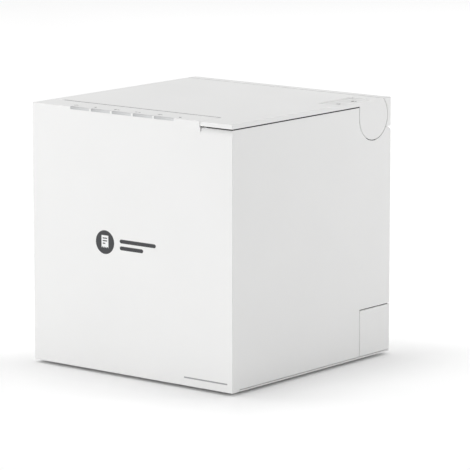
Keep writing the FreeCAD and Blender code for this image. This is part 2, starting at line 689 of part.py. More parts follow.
def make_mechanism_frame():
    """Two steel side plates joined by a front stay, screwed to the inside of the front wall."""
    body = new_body("mechanism_frame")
    stay = rectangle(STAY_Y, 99, STAY_Y + SHEET, 118.5)
    pad(body, "YZ", PATH_X - FRAME_IN - SHEET, PATH_X + FRAME_IN + SHEET, stay)
    plate = [
        (FRAME_FRONT + 1.5, 92), (MOTOR_AXIS[0] - 9, FRAME_BOTTOM), (MOTOR_AXIS[0] + 9, FRAME_BOTTOM),
        (FRAME_REAR, 92), (FRAME_REAR, FRAME_TOP), (STAY_Y, FRAME_TOP),
    ]
    for side in (-1, 1):
        low, high = span(side, FRAME_IN, FRAME_IN + SHEET, PATH_X)
        pad(body, "YZ", low, high, plate)
        pocket(body, "YZ", low, high, bush_slot())
        holes = [(HEAD_PIVOT_Y, HEAD_PIVOT_Z, HEAD_PIN), (LATCH_Y, LATCH_Z, LATCH_PIN + FIT)]
        pocket(body, "YZ", low, high, circles=holes)
        pocket(body, "YZ", low, high, circles=[(*PLATEN_AXIS, BUSH_RADIUS + 0.1)])
    low = PATH_X + FRAME_IN
    pocket(body, "YZ", low, low + SHEET, circles=[(*IDLER_AXIS, 1.5), (*MOTOR_AXIS, 3)])
    spots = [(PATH_X + STAY_SCREW_X * side, STAY_SCREW_Z + level) for side, level in STAY_SCREWS]
    pocket(body, "XZ", STAY_Y, STAY_Y + SHEET, circles=[(*spot, 1.3) for spot in spots])
    keep_screws = [
        screw(f"stay_screw_{n}", "Y", (x, STAY_Y + SHEET + 1.3, z), 2.2, 1.3, 0.95, 4.5, -1)
        for n, (x, z) in enumerate(spots)
    ]
    keep(group("stay_screws_group", keep_screws), "mechanism_screws")


def bush_slot():
    """The open slot in a side plate; it leans forward because the lid swings the platen forward."""
    radius = BUSH_RADIUS + 0.1
    top = FRAME_TOP
    return [
        (PLATEN_Y - radius, PLATEN_Z), (PLATEN_Y + radius, PLATEN_Z),
        (PLATEN_Y + radius, top), (PLATEN_Y - radius - SLOT_LEAN, top),
    ]


HEAD_FACE = PLATEN_Y - PLATEN_RADIUS - HEAD_GAP
HEAD_THICK = dim("head_thick", 1.7)
SINK_THICK = dim("heatsink_thick", 4)
SPRING_Z = dim("head_spring_height", 114.5)


def make_print_head():
    half = HALF_PAPER + 0.6
    x_low, x_high = PATH_X - half, PATH_X + half
    sink_front = HEAD_FACE - HEAD_THICK
    sink_rear = sink_front - SINK_THICK
    sink = box("sink_plate", (x_low, sink_rear, 99), (x_high, sink_front, 118))
    foot = box("sink_foot", (x_low, HEAD_PIVOT_Y - 2.4, HEAD_PIVOT_Z - 2), (x_high, HEAD_PIVOT_Y + 2, 99))
    bore = rod("sink_bore", "X", (x_low - 1, HEAD_PIVOT_Y, HEAD_PIVOT_Z), HEAD_PIN + FIT, half * 2 + 2)
    grooves = []
    for number in range(5):
        low_z = 102 + number * 3
        low, high = (x_low - 1, sink_rear - 1, low_z), (x_high + 1, sink_rear + 1.4, low_z + 1.4)
        grooves.append(box(f"sink_groove_{number}", low, high))
    keep(cut("sink", fuse("sink_solid", sink, foot), bore, *grooves), "head_heatsink")
    plate = box("head_plate", (x_low, sink_front, 100), (x_high, HEAD_FACE, 113.6))
    heater_high = (x_high - 0.6, HEAD_FACE + 0.05, 112.4)
    heater = box("head_heater", (x_low + 0.6, HEAD_FACE - 0.1, 111.6), heater_high)
    keep(fuse("head", plate, heater), "thermal_head")
    cover_low, cover_high = (x_low + 4, HEAD_FACE, 101), (x_high - 4, HEAD_FACE + 1.1, 105)
    keep(box("driver_cover", cover_low, cover_high), "head_driver_cover")
    pin_start = PATH_X - FRAME_IN - SHEET - 0.8
    pin_length = (FRAME_IN + SHEET + 0.8) * 2
    pin_rod = rod("head_pin", "X", (pin_start, HEAD_PIVOT_Y, HEAD_PIVOT_Z), HEAD_PIN, pin_length)
    keep(pin_rod, "head_pivot_pin")
    make_head_springs(STAY_Y + SHEET + 0.5, sink_rear - 0.9)


def make_head_springs(front, rear):
    """Three springs of three turns between the stay and the heat sink."""
    length = rear - front
    springs = []
    for number, offset in enumerate((-26, 0, 26)):
        start = (PATH_X + offset, front, SPRING_Z)
        springs.append(coil_spring(f"head_spring_{number}", "Y", start, 2.2, 0.4, length, length / 3))
    keep(group("head_springs_group", springs), "head_springs")


def coil_spring(name, axis, start, radius, wire, length, pitch):
    """A helical wire swept along +axis from start."""
    helix = doc.addObject("Part::Helix", name + "_helix")
    bind(helix, "Pitch", pitch)
    bind(helix, "Height", length)
    bind(helix, "Radius", radius)
    section = doc.addObject("Part::Circle", name + "_wire")
    section.Placement = Placement(Vector(float(radius), 0, 0), Rotation(Vector(1, 0, 0), 90))
    bind(section, "Radius", wire)
    coil = doc.addObject("Part::Sweep", name)
    coil.Sections = [section]
    doc.recompute()
    coil.Spine = (helix, ["Edge1"])
    coil.Solid = True
    coil.Frenet = True
    coil.Placement = Placement(Vector(), Rotation(NORMALS["Z"], NORMALS[axis]))
    place(coil, *start)
    return coil


def gear_wheel(body, teeth, low, high, phase, bore=None):
    """One toothed disc on the body's own X axis: a root disc, a tooth, and the tooth's polar pattern."""
    pitch_radius = MODULE * teeth / 2
    root = pitch_radius - MODULE
    tip = pitch_radius + MODULE * 0.75
    pad(body, "YZ", low, high, circles=[(0, 0, root)])
    half_root, half_tip = MODULE * 0.86, MODULE * 0.34
    angle = math.radians(phase)
    along = (math.cos(angle), math.sin(angle))
    foot = root - 0.3
    corners = [
        (along[0] * reach - along[1] * width, along[1] * reach + along[0] * width)
        for reach, width in ((foot, -half_root), (tip, -half_tip), (tip, half_tip), (foot, half_root))
    ]
    tooth = pad(body, "YZ", low, high, corners)
    pattern = body.newObject("PartDesign::PolarPattern", body.Name + "_pattern")
    pattern.Originals = [tooth]
    pattern.Axis = (tooth.Profile[0], ["N_Axis"])
    pattern.Angle = 360
    pattern.Occurrences = teeth
    body.Tip = pattern
    doc.recompute()
    if bore is not None:
        pocket(body, "YZ", low, high, circles=[(0, 0, bore)])


def make_gears():
    """The train from the motor's pinion through the two-part reduction gear to the platen's gear."""
    down = line_angle(PLATEN_AXIS, IDLER_AXIS)
    gear_low, gear_high = GEAR_PLANE, GEAR_PLANE + GEAR_WIDTH
    platen = new_body("platen_gear")
    gear_wheel(platen, TEETH["platen"], gear_low, gear_high, down, SHAFT_RADIUS)
    place(platen, 0, *PLATEN_AXIS)

    idler = new_body("reduction_gear")
    half_tooth = 180 / TEETH["small"]
    gear_wheel(idler, TEETH["small"], gear_low, gear_high, down + 180 + half_tooth)
    to_motor = line_angle(IDLER_AXIS, MOTOR_AXIS)
    gear_wheel(idler, TEETH["large"], LARGE_PLANE, LARGE_PLANE + LARGE_WIDTH, to_motor)
    hub = MODULE * TEETH["small"] / 2 - 1
    pad(idler, "YZ", LARGE_PLANE, gear_high, circles=[(0, 0, hub)])
    pocket(idler, "YZ", LARGE_PLANE, gear_high, circles=[(0, 0, 1.55)])
    place(idler, 0, *IDLER_AXIS)

    motor = new_body("motor_pinion")
    half_tooth = 180 / TEETH["motor"]
    gear_wheel(motor, TEETH["motor"], LARGE_PLANE, LARGE_PLANE + LARGE_WIDTH, to_motor + 180 + half_tooth)
    pad(motor, "YZ", PATH_X + FRAME_IN + SHEET - 3, LARGE_PLANE, circles=[(0, 0, 1.2)])
    place(motor, 0, *MOTOR_AXIS)

    stud_start = PATH_X + FRAME_IN
    stud = rod("gear_stud_rod", "X", (stud_start, *IDLER_AXIS), 1.5, gear_high + 1.2 - stud_start)
    clip = rod("gear_stud_clip", "X", (gear_high + 0.3, *IDLER_AXIS), 2.6, 0.6)
    keep(fuse("gear_stud_all", stud, clip), "gear_stud")


def make_feed_motor():
    x_high = PATH_X + FRAME_IN
    can = rod("motor_can", "X", (x_high - 21, *MOTOR_AXIS), MOTOR_RADIUS, 20.4)
    flange = box("motor_flange", (x_high - 1, MOTOR_AXIS[0] - MOTOR_RADIUS, MOTOR_AXIS[1] - 6),
                 (x_high - 0.05, MOTOR_AXIS[0] + MOTOR_RADIUS, MOTOR_AXIS[1] + 6))
    nose = rod("motor_nose", "X", (x_high - 1, *MOTOR_AXIS), 2.9, SHEET + 0.8)
    bore = rod("motor_bore", "X", (x_high - 4, *MOTOR_AXIS), 1.25, 8)
    keep(cut("motor_all", fuse("motor_solid", can, flange, nose), bore), "feed_motor")


def make_platen():
    half = HALF_PAPER + 0.2
    shaft_low = PATH_X - FRAME_IN - SHEET - 1.5
    shaft_high = GEAR_PLANE + GEAR_WIDTH + 1
    shaft = rod("platen_rod", "X", (shaft_low, *PLATEN_AXIS), SHAFT_RADIUS, shaft_high - shaft_low)
    keep(shaft, "platen_shaft")
    rubber = rod("rubber_disc", "X", (PATH_X - half, *PLATEN_AXIS), PLATEN_RADIUS, half * 2)
    core = rod("rubber_core", "X", (PATH_X - half - 1, *PLATEN_AXIS), SHAFT_RADIUS, half * 2 + 2)
    keep(cut("rubber", rubber, core), "platen_roller")
    bushes = []
    for side in (-1, 1):
        x_low, x_high = span(side, PLATE_IN - 0.2, FRAME_IN + SHEET + 0.4, PATH_X)
        length = x_high - x_low
        name = f"bush_{len(bushes)}"
        sleeve = rod(name + "_sleeve", "X", (x_low, *PLATEN_AXIS), BUSH_RADIUS, length)
        hole = rod(name + "_hole", "X", (x_low - 1, *PLATEN_AXIS), SHAFT_RADIUS + FIT, length + 2)
        bushes.append(cut(name, sleeve, hole))
    keep(group("bushes_group", bushes), "platen_bushes")


def make_platen_bracket():
    """The lid's steel channel: two end plates for the bushes, a rear web and a flange for the blade."""
    body = new_body("platen_bracket")
    web_front = LINER_FRONT - SHEET
    width_low, width_high = PATH_X - PLATE_IN - PLATE_THICK, PATH_X + PLATE_IN + PLATE_THICK
    pad(body, "YZ", width_low, width_high, rectangle(web_front, 106, LINER_FRONT, FIXED_BLADE_Z))
    flange = rectangle(PLATEN_Y + 0.5, FIXED_BLADE_Z - SHEET, LINER_FRONT, FIXED_BLADE_Z)
    pad(body, "YZ", width_low, width_high, flange)
    cheek = [
        (PLATEN_Y - 2, 107), (web_front + 0.5, 106), (web_front + 0.5, FIXED_BLADE_Z),
        (PLATEN_Y, FIXED_BLADE_Z), (PLATEN_Y - 4.6, 114), (PLATEN_Y - 4.6, 110),
    ]
    for side in (-1, 1):
        low, high = span(side, PLATE_IN, PLATE_IN + PLATE_THICK, PATH_X)
        pad(body, "YZ", low, high, cheek)
        pocket(body, "YZ", low, high, circles=[(*PLATEN_AXIS, BUSH_RADIUS)])
    low_edge = (PATH_X - PLATE_IN, LID_FRONT + 0.5, FIXED_BLADE_Z)
    blade = box("fixed_blade_bar", low_edge, (PATH_X + PLATE_IN, LINER_FRONT - 2, FIXED_BLADE_Z + 1))
    keep(blade, "fixed_blade")


def make_latch():
    shaft_low = PATH_X - FRAME_IN - SHEET - 0.8
    shaft_length = (FRAME_IN + SHEET + 0.8) * 2
    keep(rod("latch_rod", "X", (shaft_low, LATCH_Y, LATCH_Z), LATCH_PIN, shaft_length), "latch_shaft")
    hooks = []
    nose_y = PLATEN_Y + BUSH_RADIUS + 0.35
    for side in (-1, 1):
        x_low, x_high = span(side, PLATE_IN + PLATE_THICK + 0.4, FRAME_IN - 0.3, PATH_X)
        name = f"latch_hook_{len(hooks)}"
        eye = rod(name + "_eye", "X", (x_low, LATCH_Y, LATCH_Z), 3.2, x_high - x_low)
        arm = box(name + "_arm", (x_low, LATCH_Y - 2, LATCH_Z), (x_high, LATCH_Y + 1.4, 117.5))
        nose = box(name + "_nose", (x_low, nose_y, 113.5), (x_high, LATCH_Y + 1.4, 117.5))
        hole = rod(name + "_hole", "X", (x_low - 1, LATCH_Y, LATCH_Z), LATCH_PIN, x_high - x_low + 2)
        hooks.append(cut(name, fuse(name + "_solid", eye, arm, nose), hole))
    keep(group("hooks_group", hooks), "latch_hooks")
    spring_x = PATH_X + FRAME_IN - 9
    keep(coil_spring("latch_coil", "X", (spring_x, LATCH_Y, LATCH_Z), 2.6, 0.4, 5, 1.0), "latch_spring")


# ---------------------------------------------------------------- cutter

CUTTER_Y = dim("cutter_pinion_back", -55.5)
RACK_PLANE = dim("rack_plane", 40.2)
RACK_WIDTH = dim("rack_width", 3)
CUTTER_TOP = dim("cutter_top", 124)


def make_cutter():
    x_low = PATH_X - FRAME_IN - SHEET
    x_high = PATH_X + FRAME_IN + SHEET
    shell = box("cutter_shell", (x_low, -61.2, FRAME_TOP + 0.1), (x_high, STRIP_BACK, CUTTER_TOP))
    channel_high = (x_high + 1, STRIP_BACK + 1, BLADE_Z + BLADE + 0.2)
    channel = box("cutter_channel", (x_low + 2, -60.8, BLADE_Z - 0.2), channel_high)
    windows = []
    for number in range(3):
        left = PATH_X - 36 + number * 25
        window_high = (left + 20, -52, CUTTER_TOP + 1)
        windows.append(box(f"cutter_window_{number}", (left, -58, CUTTER_TOP - 2), window_high))
    keep(cut("cutter_guide", shell, channel, *windows), "cutter_frame")
    make_moving_blade()
    pitch_radius = MODULE * TEETH["cutter"] / 2
    axis_z = rack_pitch_height() - pitch_radius
    pinion = new_body("cutter_pinion")
    gear_wheel(pinion, TEETH["cutter"], RACK_PLANE, RACK_PLANE + RACK_WIDTH, 90)
    start = GEAR_PLANE + GEAR_WIDTH + 0.8
    pad(pinion, "YZ", RACK_PLANE + RACK_WIDTH, start + 3, circles=[(0, 0, 1)])
    place(pinion, 0, CUTTER_Y, axis_z)
    can = rod("cutter_can", "X", (start, CUTTER_Y, axis_z), 5, HALF_W - WALL - 1 - start)
    bore = rod("cutter_bore", "X", (start - 1, CUTTER_Y, axis_z), 1.05, 5)
    keep(cut("cutter_motor_all", can, bore), "cutter_motor")


def rack_pitch_height():
    return BLADE_Z - MODULE * 0.75


def make_moving_blade():
    """The guillotine blade: a plate with a shallow V edge, and a toothed rack on its right-hand arm."""
    body = new_body("moving_blade")
    front, edge = -60.4, STRIP_BACK - 0.5
    half = HALF_PAPER + 1
    plate = [
        (PATH_X - half, front), (RACK_PLANE + RACK_WIDTH, front), (RACK_PLANE + RACK_WIDTH, front + 6),
        (PATH_X + half, front + 6), (PATH_X + half, edge), (PATH_X, edge - 3.6), (PATH_X - half, edge),
    ]
    pad(body, "XY", BLADE_Z, BLADE_Z + BLADE, plate)
    pitch_line = rack_pitch_height()
    root_z = pitch_line + MODULE
    rack = rectangle(front, root_z - 0.1, -46.5, BLADE_Z + BLADE)
    pad(body, "YZ", RACK_PLANE, RACK_PLANE + RACK_WIDTH, rack)
    tooth_pitch = MODULE * math.pi
    first = CUTTER_Y - tooth_pitch * 1.5
    half_root, half_tip = MODULE * 0.86, MODULE * 0.34
    tip_z = pitch_line - MODULE * 0.75
    for number in range(5):
        centre = first + tooth_pitch * number
        tooth = [
            (centre - half_root, root_z), (centre - half_tip, tip_z),
            (centre + half_tip, tip_z), (centre + half_root, root_z),
        ]
        pad(body, "YZ", RACK_PLANE, RACK_PLANE + RACK_WIDTH, tooth)


# ---------------------------------------------------------------- electronics

BOARD_HALF = dim("board_half_width", 40.5)
BOARD_FRONT = dim("board_front", -38)
BOARD_BACK = dim("board_back", 37.4)
PORT_FACE = dim("port_face", 40.4)
PORTS = {
    # name: (left, right, height above the board, depth)
    "power_inlet": (-44, -30, 11.5, 14),
    "drawer_port": (-25, -11, 12.5, 15),
    "usb_port": (-6, 7, 10.8, 14),
    "ethernet_port": (12, 28.5, 13.2, 15),
}
CHIPS = [
    # name, front left corner, width and depth, height above the board
    ("processor", (-16, -8), (14, 14), 1.4), ("memory", (4, -8), (12, 8), 1.1),
    ("driver", (-38, -12), (9, 9), 1.6), ("inductor", (-42, 8), (8, 8), 4.5),
    ("port_chip", (14, 8), (7, 7), 1.0), ("flex_socket", (-22, -30), (32, 4), 2.6),
    ("motor_socket", (18, -30), (12, 5), 5.0),
]
CAPACITORS = [(-38, -24), (-28, -17)]


def make_ports():
    """Four sockets along the board's rear edge, each with its mouth and its contacts or tongue."""
    for name, (left, right, height, depth) in PORTS.items():
        shell_high = (right, PORT_FACE, BOARD_TOP + height)
        shell = box(name + "_shell", (left, PORT_FACE - depth, BOARD_TOP), shell_high)
        middle = (left + right) / 2
        make = {"power_inlet": round_mouth, "usb_port": square_mouth}.get(name, modular_mouth)
        mouth, inside = make(name, middle, (right - left) / 2)
        keep(fuse(name + "_all", cut(name + "_socket", shell, mouth), *inside), name)


def round_mouth(name, middle, half):
    """A round three-pin mouth."""
    axis_z = BOARD_TOP + 5.8
    mouth = rod(name + "_mouth", "Y", (middle, PORT_FACE - 9, axis_z), half - 2.4, 10)
    pins = [
        rod(f"{name}_pin_{n}", "Y", (middle + dx, PORT_FACE - 10, axis_z + dz), 0.6, 8)
        for n, (dx, dz) in enumerate(((-2.2, -1), (2.2, -1), (0, 2.2)))
    ]
    return mouth, pins


def square_mouth(name, middle, half):
    """A square mouth with a tongue in the middle."""
    face = PORT_FACE + 1
    reach = half - 2.3
    mouth_low = (middle - reach, face - 10, BOARD_TOP + 1.4)
    mouth = box(name + "_mouth", mouth_low, (middle + reach, face, BOARD_TOP + 9.2))
    low, high = (middle - 2.8, face - 11, BOARD_TOP + 3.7), (middle + 2.8, face - 2, BOARD_TOP + 6.9)
    return mouth, [box(name + "_tongue", low, high)]


def modular_mouth(name, middle, half):
    """A wide mouth with a notch below for the plug's catch."""
    face = PORT_FACE + 1
    reach = half - 2.2
    mouth_low = (middle - reach, face - 12, BOARD_TOP + 2.6)
    mouth = box(name + "_mouth", mouth_low, (middle + reach, face, BOARD_TOP + 9.4))
    notch_low = (middle - 2.2, face - 12, BOARD_TOP + 1.2)
    notch = box(name + "_notch", notch_low, (middle + 2.2, face, BOARD_TOP + 2.7))
    return fuse(name + "_opening", mouth, notch), []


def make_main_board():
    low = (PATH_X - BOARD_HALF, BOARD_FRONT, BOARD_Z)
    high = (PATH_X + BOARD_HALF, BOARD_BACK, BOARD_TOP)
    spots = [(PATH_X + side * 37, y) for side in (-1, 1) for y in (-34.5, 20)]
    holes = [rod(f"board_hole_{n}", "Z", (*spot, BOARD_Z - 1), 1.4, PCB + 2) for n, spot in enumerate(spots)]
    keep(cut("board", box("board_sheet", low, high), *holes), "main_board")
    columns = []
    for n, spot in enumerate(spots):
        column = rod(f"standoff_rod_{n}", "Z", (*spot, BASE_TOP), 2.6, BOARD_Z - BASE_TOP)
        hole = rod(f"standoff_hole_{n}", "Z", (*spot, BASE_TOP - 1), 1.3, BOARD_Z - BASE_TOP + 2)
        columns.append(cut(f"standoff_{n}", column, hole))
    keep(group("standoffs_group", columns), "board_standoffs")
    screws = [screw(f"board_screw_{n}", "Z", (*spot, BOARD_TOP + 1.4), 2.3, 1.4, 1.25, 3.6, -1)
              for n, spot in enumerate(spots)]
    keep(group("board_screws_group", screws), "board_screws")
    pieces = [box(name, (x, y, BOARD_TOP), (x + wide, y + deep, BOARD_TOP + tall))
              for name, (x, y), (wide, deep), tall in CHIPS]
    cans = [rod(f"capacitor_{n}", "Z", (x, y, BOARD_TOP), 4, 8) for n, (x, y) in enumerate(CAPACITORS)]
    keep(group("components_group", pieces + cans), "board_components")


def make_connector_panel():
    """The sheet-steel panel across the cable bay, with one opening for each socket."""
    body = new_body("connector_panel")
    half = INNER_W - 0.4
    front = BAY_FRONT - 0.5
    pad(body, "XZ", front, front + 1, rectangle(-half, BASE_TOP + 0.1, half, BAY_TOP - 0.1))
    gap = 0.3
    for left, right, height, _ in PORTS.values():
        hole = rectangle(left - gap, BOARD_TOP - gap, right + gap, BOARD_TOP + height + gap)
        pocket(body, "XZ", front, front + 1, hole)


def make_head_cable():
    """The flat cable from the print head down to the main board, as thin straight runs."""
    body = new_body("head_cable")
    thick = 0.35
    floor_z = BOARD_TOP + 3.1
    outer_y = -60.6
    inner_y = outer_y + thick
    outer_side = [
        (-52.0 - thick, 94.2), (outer_y, 84), (outer_y, 12), (-56, floor_z - thick), (-29, floor_z - thick),
    ]
    inner_side = [(-29, floor_z), (-56 + 0.2, floor_z), (inner_y, 12.2), (inner_y, 83.9), (-52.0, 94.2)]
    path = outer_side + inner_side
    pad(body, "YZ", PATH_X - 16, PATH_X + 14, path)


def make_indicators():
    """Five light guides in the front edge of the top, and the board with a lamp under each."""
    guides, lamps = [], []
    window_back, stem_back = LIGHT_DEPTH - HALF_D, STEM_DEPTH - HALF_D
    window_bottom = TOP_HEIGHT - LIGHT_HEIGHT
    sheet_front, sheet_top = -61, KEY_BOARD_Z + KEY_BOARD_THICK
    for index in range(LIGHT_COUNT):
        name = f"light_{index}"
        left = light_left(index)
        low_x, high_x = left + LIGHT_WIDTH / 2 - STEM_HALF, left + LIGHT_WIDTH / 2 + STEM_HALF
        stem_front = window_back - 0.2
        window_high = (left + LIGHT_WIDTH, window_back, TOP_HEIGHT)
        window = box(name + "_window", (left, -HALF_D, window_bottom), window_high)
        stem = box(name + "_stem", (low_x, stem_front, WALL_TOP - 1), (high_x, stem_back, TOP_HEIGHT - 0.5))
        core = box(name + "_core", (low_x, stem_front, WALL_TOP - 2), (high_x, window_back, window_bottom))
        guides.append(cut(name, fuse(name + "_solid", window, stem), core))
        lamp_high = (high_x - 1, sheet_front + 1, sheet_top + 0.8)
        lamps.append(box(name + "_lamp", (low_x + 1, sheet_front, sheet_top), lamp_high))
    keep(group("lights_group", guides), "light_guides")
    board = box("indicator_sheet", (-42, sheet_front, KEY_BOARD_Z), (30, sheet_front + 9, sheet_top))
    keep(fuse("indicator_all", board, *lamps), "indicator_board")


def make_paper_sensor():
    wall = BUCKET_Y - BUCKET_RADIUS - BUCKET_WALL
    keep(box("sensor_block", (PATH_X - 4, wall - 3.4, 87), (PATH_X + 4, wall, 92)), "paper_sensor")


# ---------------------------------------------------------------- all together

def check_and_write():
    doc.recompute()
    for piece in doc.Objects:
        if "Invalid" in piece.State or "Error" in piece.State:
            raise RuntimeError(f"{piece.Name} is {piece.State}")
    os.makedirs("parts", exist_ok=True)
    for piece in nodes:
        shape = piece.Shape
        if shape.isNull() or not shape.isValid() or not shape.Solids:
            raise RuntimeError(f"{piece.Label} has no valid shape")
    for piece in nodes:
        piece.Shape.exportStep(f"parts/{piece.Label}.step")
    print(len(nodes), "nodes written")


make_outer_case()
make_rear_case()
make_hinge_bar()
make_hinge_brackets()
make_base()
make_cable_cover()
make_lid_shell()
make_lid_liner()
make_hinge_pins()
make_buttons()
make_bucket()
make_roll()
make_mechanism_frame()
make_print_head()
make_gears()
make_feed_motor()
make_platen()
make_platen_bracket()
make_latch()
make_cutter()
make_ports()
make_main_board()
make_connector_panel()
make_head_cable()
make_indicators()
make_paper_sensor()
check_and_write()
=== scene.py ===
import json
import math

import bmesh
import bpy
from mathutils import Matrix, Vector

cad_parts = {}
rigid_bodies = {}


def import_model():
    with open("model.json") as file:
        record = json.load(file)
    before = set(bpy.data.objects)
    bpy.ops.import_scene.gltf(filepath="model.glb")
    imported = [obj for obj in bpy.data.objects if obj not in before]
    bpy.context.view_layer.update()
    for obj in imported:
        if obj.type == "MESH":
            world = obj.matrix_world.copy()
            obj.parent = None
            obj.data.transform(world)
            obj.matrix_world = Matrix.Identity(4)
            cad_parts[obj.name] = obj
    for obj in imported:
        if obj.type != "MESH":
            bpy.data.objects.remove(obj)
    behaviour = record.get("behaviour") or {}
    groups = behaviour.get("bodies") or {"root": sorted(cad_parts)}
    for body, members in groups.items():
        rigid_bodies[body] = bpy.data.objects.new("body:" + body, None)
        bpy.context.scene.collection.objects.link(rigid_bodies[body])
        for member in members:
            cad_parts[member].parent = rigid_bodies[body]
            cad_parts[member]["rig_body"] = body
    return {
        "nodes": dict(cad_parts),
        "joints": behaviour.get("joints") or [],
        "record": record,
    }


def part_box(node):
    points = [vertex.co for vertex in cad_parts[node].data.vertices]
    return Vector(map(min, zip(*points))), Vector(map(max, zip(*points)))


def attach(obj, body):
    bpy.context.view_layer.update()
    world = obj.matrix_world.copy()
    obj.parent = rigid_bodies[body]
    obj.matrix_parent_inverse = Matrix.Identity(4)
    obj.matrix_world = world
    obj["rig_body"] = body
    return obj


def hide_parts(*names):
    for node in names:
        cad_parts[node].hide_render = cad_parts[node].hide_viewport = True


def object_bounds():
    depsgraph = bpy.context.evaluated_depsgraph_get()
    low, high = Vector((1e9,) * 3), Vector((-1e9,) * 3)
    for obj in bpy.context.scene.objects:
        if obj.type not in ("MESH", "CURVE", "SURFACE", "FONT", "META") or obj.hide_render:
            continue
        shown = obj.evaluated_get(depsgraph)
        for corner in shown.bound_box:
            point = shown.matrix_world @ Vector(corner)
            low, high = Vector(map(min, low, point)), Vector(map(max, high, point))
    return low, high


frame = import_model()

# The looks of a cube-shaped 80 mm receipt printer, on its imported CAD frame.
# Object space is in metres: +X is the printer's right, -Y its front, +Z up. Sizes here are in
# millimetres, times MM.

MM = 0.001
CAD_LOW, CAD_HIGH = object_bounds()
NODES = frame["nodes"]
SLOT_OF = {part["node"]: part["material_slot"] for part in frame["record"]["subparts"]}


# ---------------------------------------------------------------- shader building blocks

def add(tree, kind, settings=None, **inputs):
    """Adds a shader node; inputs are values or sockets, by the socket's name with _ for a space."""
    node = tree.nodes.new("ShaderNode" + kind)
    for name, value in (settings or {}).items():
        setattr(node, name, value)
    for name, value in inputs.items():
        connect(tree, value, node.inputs[name.replace("_", " ")])
    return node


def connect(tree, value, socket):
    """Links a socket to another, or sets its value."""
    if isinstance(value, bpy.types.NodeSocket):
        tree.links.new(value, socket)
    else:
        socket.default_value = value


def maths(tree, operation, *values):
    node = add(tree, "Math", {"operation": operation})
    for value, socket in zip(values, node.inputs):
        connect(tree, value, socket)
    return node.outputs[0]


def mix_colour(tree, factor, first, second):
    node = add(tree, "Mix", {"data_type": "RGBA"})
    for value, socket in ((factor, node.inputs[0]), (first, node.inputs[6]), (second, node.inputs[7])):
        connect(tree, value, socket)
    return node.outputs[2]


def remap(tree, value, low, high, to_low, to_high):
    """Maps a range to another, held at its ends."""
    node = add(tree, "MapRange", Value=value, From_Min=low, From_Max=high, To_Min=to_low, To_Max=to_high)
    return node.outputs[0]


def place_of(tree, stretch=(1, 1, 1)):
    """The point in object space, in metres, stretched along the axes."""
    coordinates = add(tree, "TexCoord").outputs["Object"]
    return add(tree, "Mapping", Vector=coordinates, Scale=stretch).outputs[0]


def noise(tree, size, stretch=(1, 1, 1), detail=2.0):
    """Noise whose features are about size millimetres across, as a value from 0 to 1."""
    node = add(tree, "TexNoise", Vector=place_of(tree, stretch), Scale=1 / (size * MM), Detail=detail)
    return node.outputs[0]


def coordinate(tree, axis):
    """One object-space coordinate in millimetres."""
    split = add(tree, "SeparateXYZ", Vector=place_of(tree, (1 / MM,) * 3))
    return split.outputs["XYZ".index(axis)]


def bump(tree, height, distance):
    """A bump whose full height is distance millimetres."""
    return add(tree, "Bump", Height=height, Distance=distance * MM, Strength=1.0).outputs[0]


def grey(level):
    return (level, level, level, 1.0)


def scaled(colour, share):
    """A colour made darker or lighter."""
    return tuple(min(1.0, channel * share) for channel in colour[:3]) + (1.0,)


def new_material(name, roughness=0.5, metallic=0.0, **values):
    """A material with its node tree and shader; values go to the shader's own sockets."""
    material = bpy.data.materials.new(name)
    material.use_nodes = True
    shader = material.node_tree.nodes["Principled BSDF"]
    shader.inputs["Roughness"].default_value = roughness
    shader.inputs["Metallic"].default_value = metallic
    for key, value in values.items():
        shader.inputs[key.replace("_", " ")].default_value = value
    return material, material.node_tree, shader


def colour_between(tree, shader, factor, first, second):
    """Paints a surface between two colours."""
    connect(tree, mix_colour(tree, factor, first, second), shader.inputs["Base Color"])


def rough_surface(tree, shader, height, distance):
    """Gives a surface a bump whose full height is distance millimetres."""
    connect(tree, bump(tree, height, distance), shader.inputs["Normal"])


# ---------------------------------------------------------------- materials, one maker per kind

def moulded(name, colour, roughness, grain, height, mottle=0.015, **values):
    """Moulded plastic: an eroded fine texture, a faint flow mottle and slightly uneven gloss."""
    material, tree, shader = new_material(name, roughness, **values)
    flow = noise(tree, 35, detail=3.0)
    colour_between(tree, shader, flow, scaled(colour, 1 - mottle), scaled(colour, 1 + mottle))
    texture = maths(tree, "ADD", noise(tree, grain, detail=4.0),
                    maths(tree, "MULTIPLY", noise(tree, grain * 3.5), 0.5))
    rough_surface(tree, shader, texture, height)
    connect(tree, remap(tree, flow, 0.3, 0.7, roughness - 0.04, roughness + 0.04), shader.inputs["Roughness"])
    return material


def brushed(name, colour, roughness, along=(1, 18, 18), grain=0.9, height=0.004):
    """Ground or drawn metal with fine lines along the axis whose stretch is the smallest."""
    material, tree, shader = new_material(name, roughness, 1.0)
    lines = noise(tree, grain * 18, stretch=along, detail=6.0)
    colour_between(tree, shader, lines, scaled(colour, 0.86), scaled(colour, 1.1))
    uneven = remap(tree, lines, 0.25, 0.75, roughness - 0.08, roughness + 0.1)
    connect(tree, uneven, shader.inputs["Roughness"])
    rough_surface(tree, shader, lines, height)
    return material


def galvanised(name, colour, roughness):
    """Zinc-coated sheet: flat spangles of slightly different brightness and gloss."""
    material, tree, shader = new_material(name, roughness, 1.0)
    cells = add(tree, "TexVoronoi", Vector=place_of(tree), Scale=1 / (4.5 * MM))
    spangle = add(tree, "SeparateColor", Color=cells.outputs["Color"]).outputs[0]
    fine = noise(tree, 0.8, detail=3.0)
    colour_between(tree, shader, spangle, scaled(colour, 0.84), scaled(colour, 1.08))
    uneven = maths(tree, "ADD", maths(tree, "MULTIPLY", spangle, 0.16), maths(tree, "MULTIPLY", fine, 0.08))
    connect(tree, maths(tree, "ADD", uneven, roughness - 0.1), shader.inputs["Roughness"])
    rough_surface(tree, shader, fine, 0.005)
    return material


